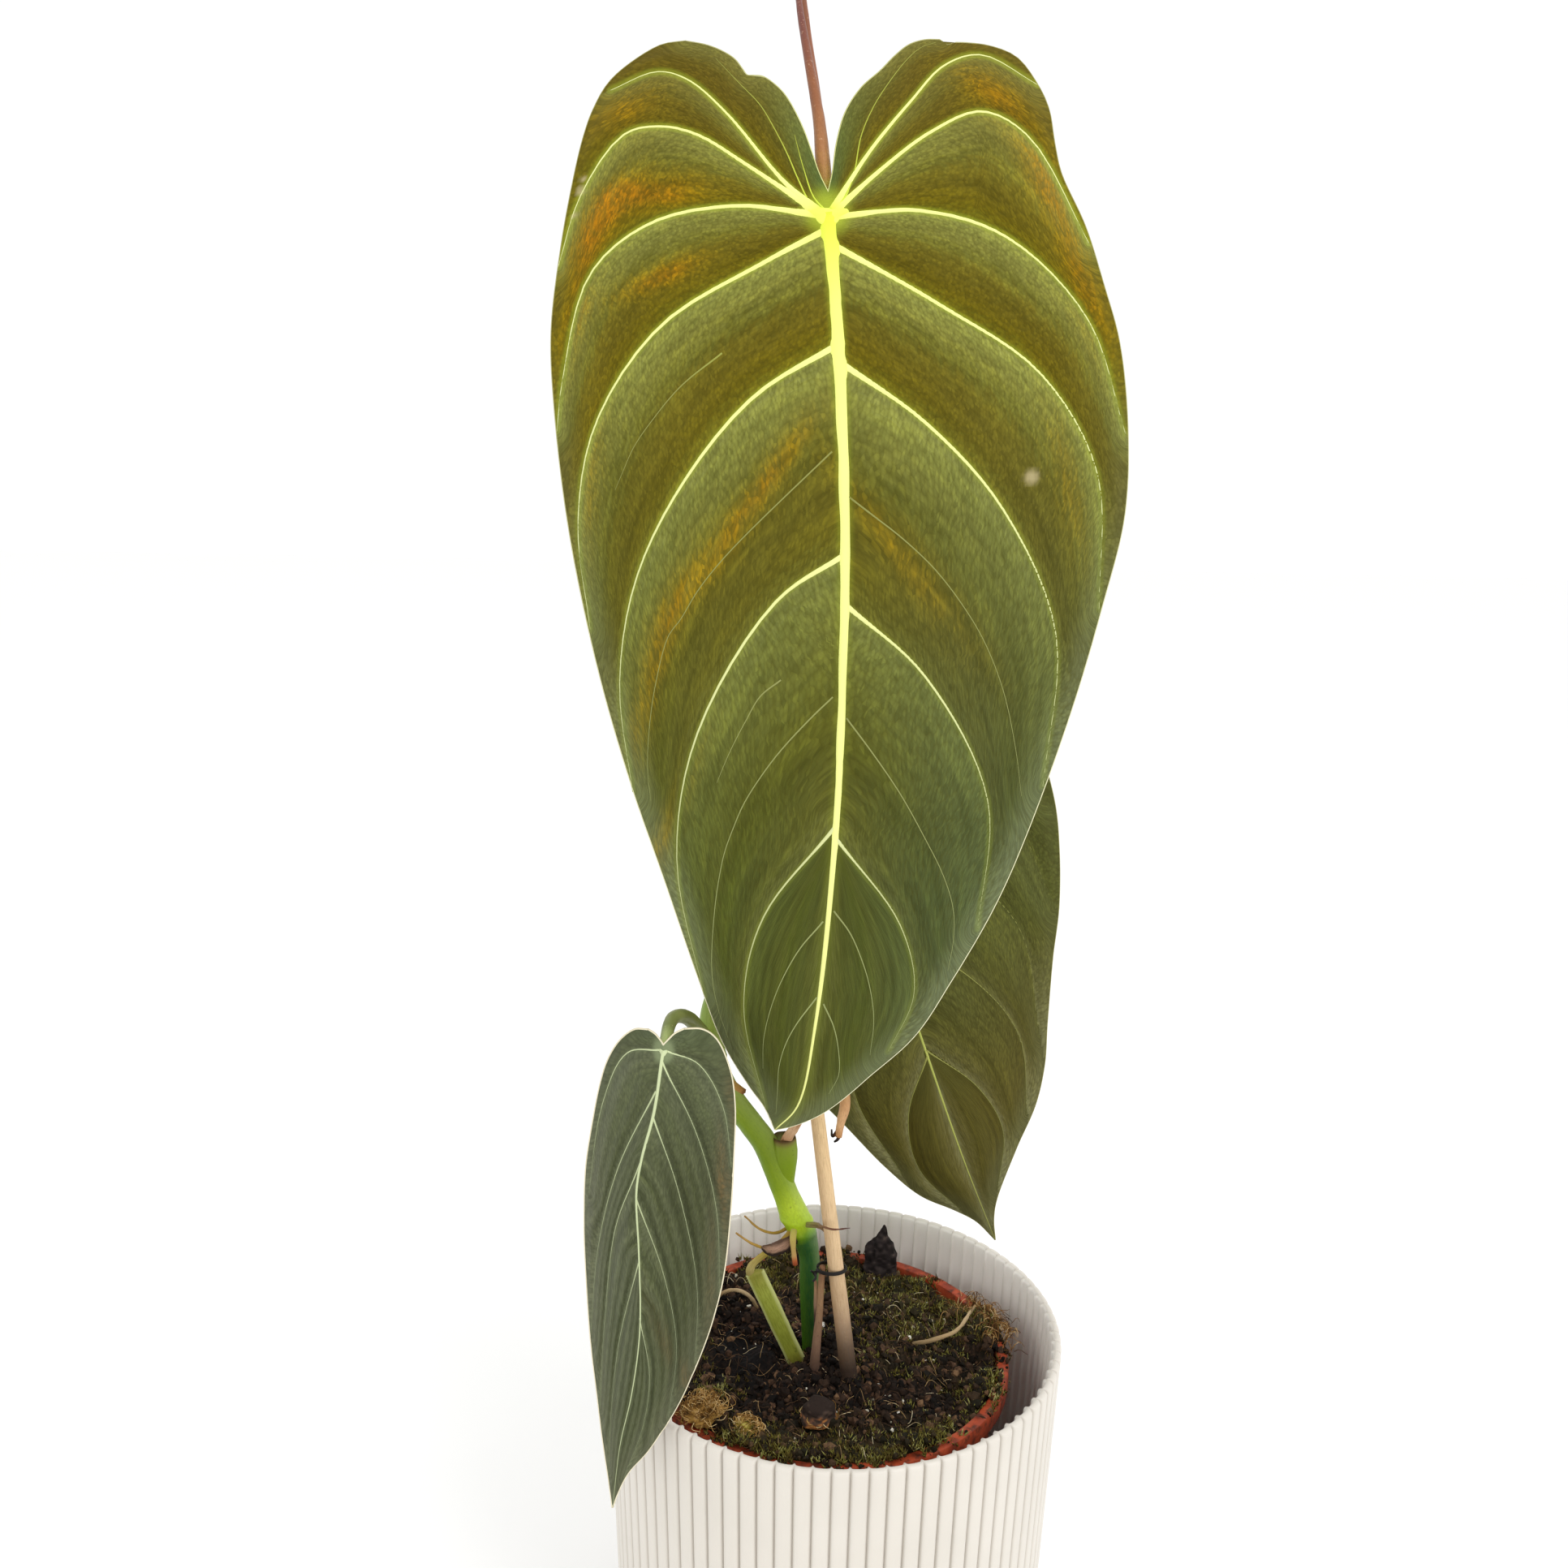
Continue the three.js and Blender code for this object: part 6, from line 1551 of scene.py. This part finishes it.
def makeLump(name, lump, material, rows=57, columns=96):
    height, angle = np.linspace(0, np.pi, rows)[:, None], fullTurn(columns)
    kept, faces = closedGrid(rows, columns)
    direction = pointsOf(np.sin(height) * np.cos(angle), np.sin(height) * np.sin(angle),
                         -np.cos(height))[kept]
    points = lumpPoints(lump, direction)
    tone = 0.5 + 0.5 * latticeNoise(points * (1, 1, 2), 1.6, 17)
    tone -= lump.get("bottomTone", 0) * direction[:, 2]
    makePiece(name, points, faces, [material], lump["slot"], lump["node"], {"tone": tone})


# Fibres that stick out of the coir lumps and the nugget, rooted on their surfaces.
def makeLumpFibres(name, lump, material):
    count, upward, lift = lump["fibres"], lump["upward"], lump["lift"]
    draw = np.random.default_rng(lump["fibreSeed"])
    direction = draw.normal(size=(count, 3))
    direction[:, 2] = np.abs(direction[:, 2]) * upward - 0.2
    direction = unit(direction)

    def fibrePath(start, way):
        side = unit(np.cross(way, draw.normal(size=3)))
        length = draw.uniform(*lump["fibreLength"])
        return np.stack([start - 0.5 * way, start + 0.25 * length * side + 0.3 * way,
                         start + 0.7 * length * side + lift * length * way * draw.random(),
                         start + length * side - 0.1 * length * way])

    paths = (fibrePath(*foot) for foot in zip(lumpPoints(lump, direction), direction))
    makeThreads(name + "Fibres", draw, paths, (0.12, 0.07), (0.3, 0.5, 0.8), 8, material,
                lump["slot"], lump["node"])


for name, lump in litter.items():
    makeLump(name, lump, looseMaterial(name + "Surface", lump["ramp"], 600.0, 0.0006))
coirMaterial = looseMaterial("coirThread", (
    (0.1, "#6a4a22"), (0.4, "#9c743a"), (0.7, "#c09a5c"), (1.0, "#e6cc96")), 900.0, 0.0001)
for name in ("coirLumpLeft", "coirLumpRight", "barkNugget"):
    makeLumpFibres(name, litter[name], coirMaterial)

# Two surface roots, pale and woody, running in and out of the soil.
surfaceRoots = dict(
    rootRight=dict(
        path=(
            (25.4, 6.4, 112.6), (32, 4.6, 115.6), (39.6, 8.4, 116.4), (45.4, 18, 116.8),
            (48.6, 24.4, 116)),
        radii=(0.75, 0.7, 0.6, 0.55, 0.45), node="root_right"),
    rootLeft=dict(
        path=(
            (-38.4, 26.8, 111.6), (-36, 26.6, 116.4), (-31.7, 26.2, 118.2), (-27, 25.2, 117),
            (-24, 26.2, 111.8)),
        radii=(0.6, 0.6), node="root_left"))
rootLook = dict(
    guide=(0, 0.2, 1), sides=12, steps=70, lumps=((1.6, 0.12, 1.0),),
    ramp=((0.0, "#8a7350"), (0.4, "#b59a70"), (0.7, "#c9b088"), (1.0, "#9c8258")),
    streakColor="#7a6040", streakShare=0.6, fleckColor="#5a442c", roughness=0.7, bump=0.6)
rootMaterial = skinMaterial("woodyRoot", rootLook)
for name, root in surfaceRoots.items():
    makeTubes(name, {**rootLook, **root}, rootMaterial, "pale_root", root["node"])
print("litter made")


# Stage: a pale floor, an even white surround, one wide soft light from the right front, and
# a weaker one from the left. The camera stands a little above the pot's rim and looks down.
# Places, sizes and clipStart are in metres here, and powers in watts.
stageLook = dict(
    floorSize=12.0, floorColor="#fbfbfa", worldColor="#ffffff", worldStrength=1.04,
    lights=(
        dict(place=(0.85, -0.95, 1.5), aim=(0.0, 0.0, 0.2), size=1.0, power=10.0),
        dict(place=(-0.9, -1.0, 0.8), aim=(0.0, 0.0, 0.2), size=0.9, power=1.2)),
    cameraPlace=(-0.018368, -0.389515, 0.381031), pitch=12.36, roll=0.0185, pixelLength=1721.0,
    frameWidth=1932.0, sensor=36.0, clipStart=0.01)


def axesMatrix(right, upward, back, place):
    return Matrix([*([*values] for values in zip(right, upward, back, place)), [0, 0, 0, 1]])


def turnedTowards(place, aim):
    back = unit(np.subtract(place, aim))
    right = unit(np.cross((0, 0, 1), back))
    return axesMatrix(right, np.cross(back, right), back, place)


def makeStage(look):
    scene = bpy.context.scene
    half = look["floorSize"] / 2
    mesh = bpy.data.meshes.new("floor")
    mesh.from_pydata([(-half, -half, 0), (half, -half, 0), (half, half, 0), (-half, half, 0)], [],
                     [(0, 1, 2, 3)])
    material, add = newMaterial("matteFloor")
    addSurface(add, look["floorColor"], 0.9, 0.1)
    mesh.materials.append(material)
    floor = addObject("floor", mesh)
    for number, light in enumerate(look["lights"]):
        lamp = bpy.data.lights.new(f"softLight{number}", "AREA")
        lamp.shape, lamp.size, lamp.energy = "DISK", light["size"], light["power"]
        addObject(lamp.name, lamp).matrix_world = turnedTowards(light["place"], light["aim"])
    world = bpy.data.worlds.new("studio")
    world.use_nodes = True
    background = world.node_tree.nodes["Background"]
    background.inputs["Color"].default_value = linearColor(look["worldColor"])
    background.inputs["Strength"].default_value = look["worldStrength"]
    scene.world = world
    scene.view_settings.view_transform = "Standard"

    pitch, roll = np.radians(look["pitch"]), look["roll"]
    forward = np.array([0, np.cos(pitch), -np.sin(pitch)])
    level, upright = np.array([1, 0, 0]), np.array([0, np.sin(pitch), np.cos(pitch)])
    camera = bpy.data.cameras.new("camera")
    camera.sensor_width = look["sensor"]
    camera.lens = look["sensor"] * look["pixelLength"] / look["frameWidth"]
    camera.clip_start = look["clipStart"]
    scene.camera = addObject("camera", camera)
    scene.camera.matrix_world = axesMatrix(
        level * np.cos(roll) + upright * np.sin(roll),
        upright * np.cos(roll) - level * np.sin(roll), -forward, look["cameraPlace"])


makeStage(stageLook)
print("stage made")
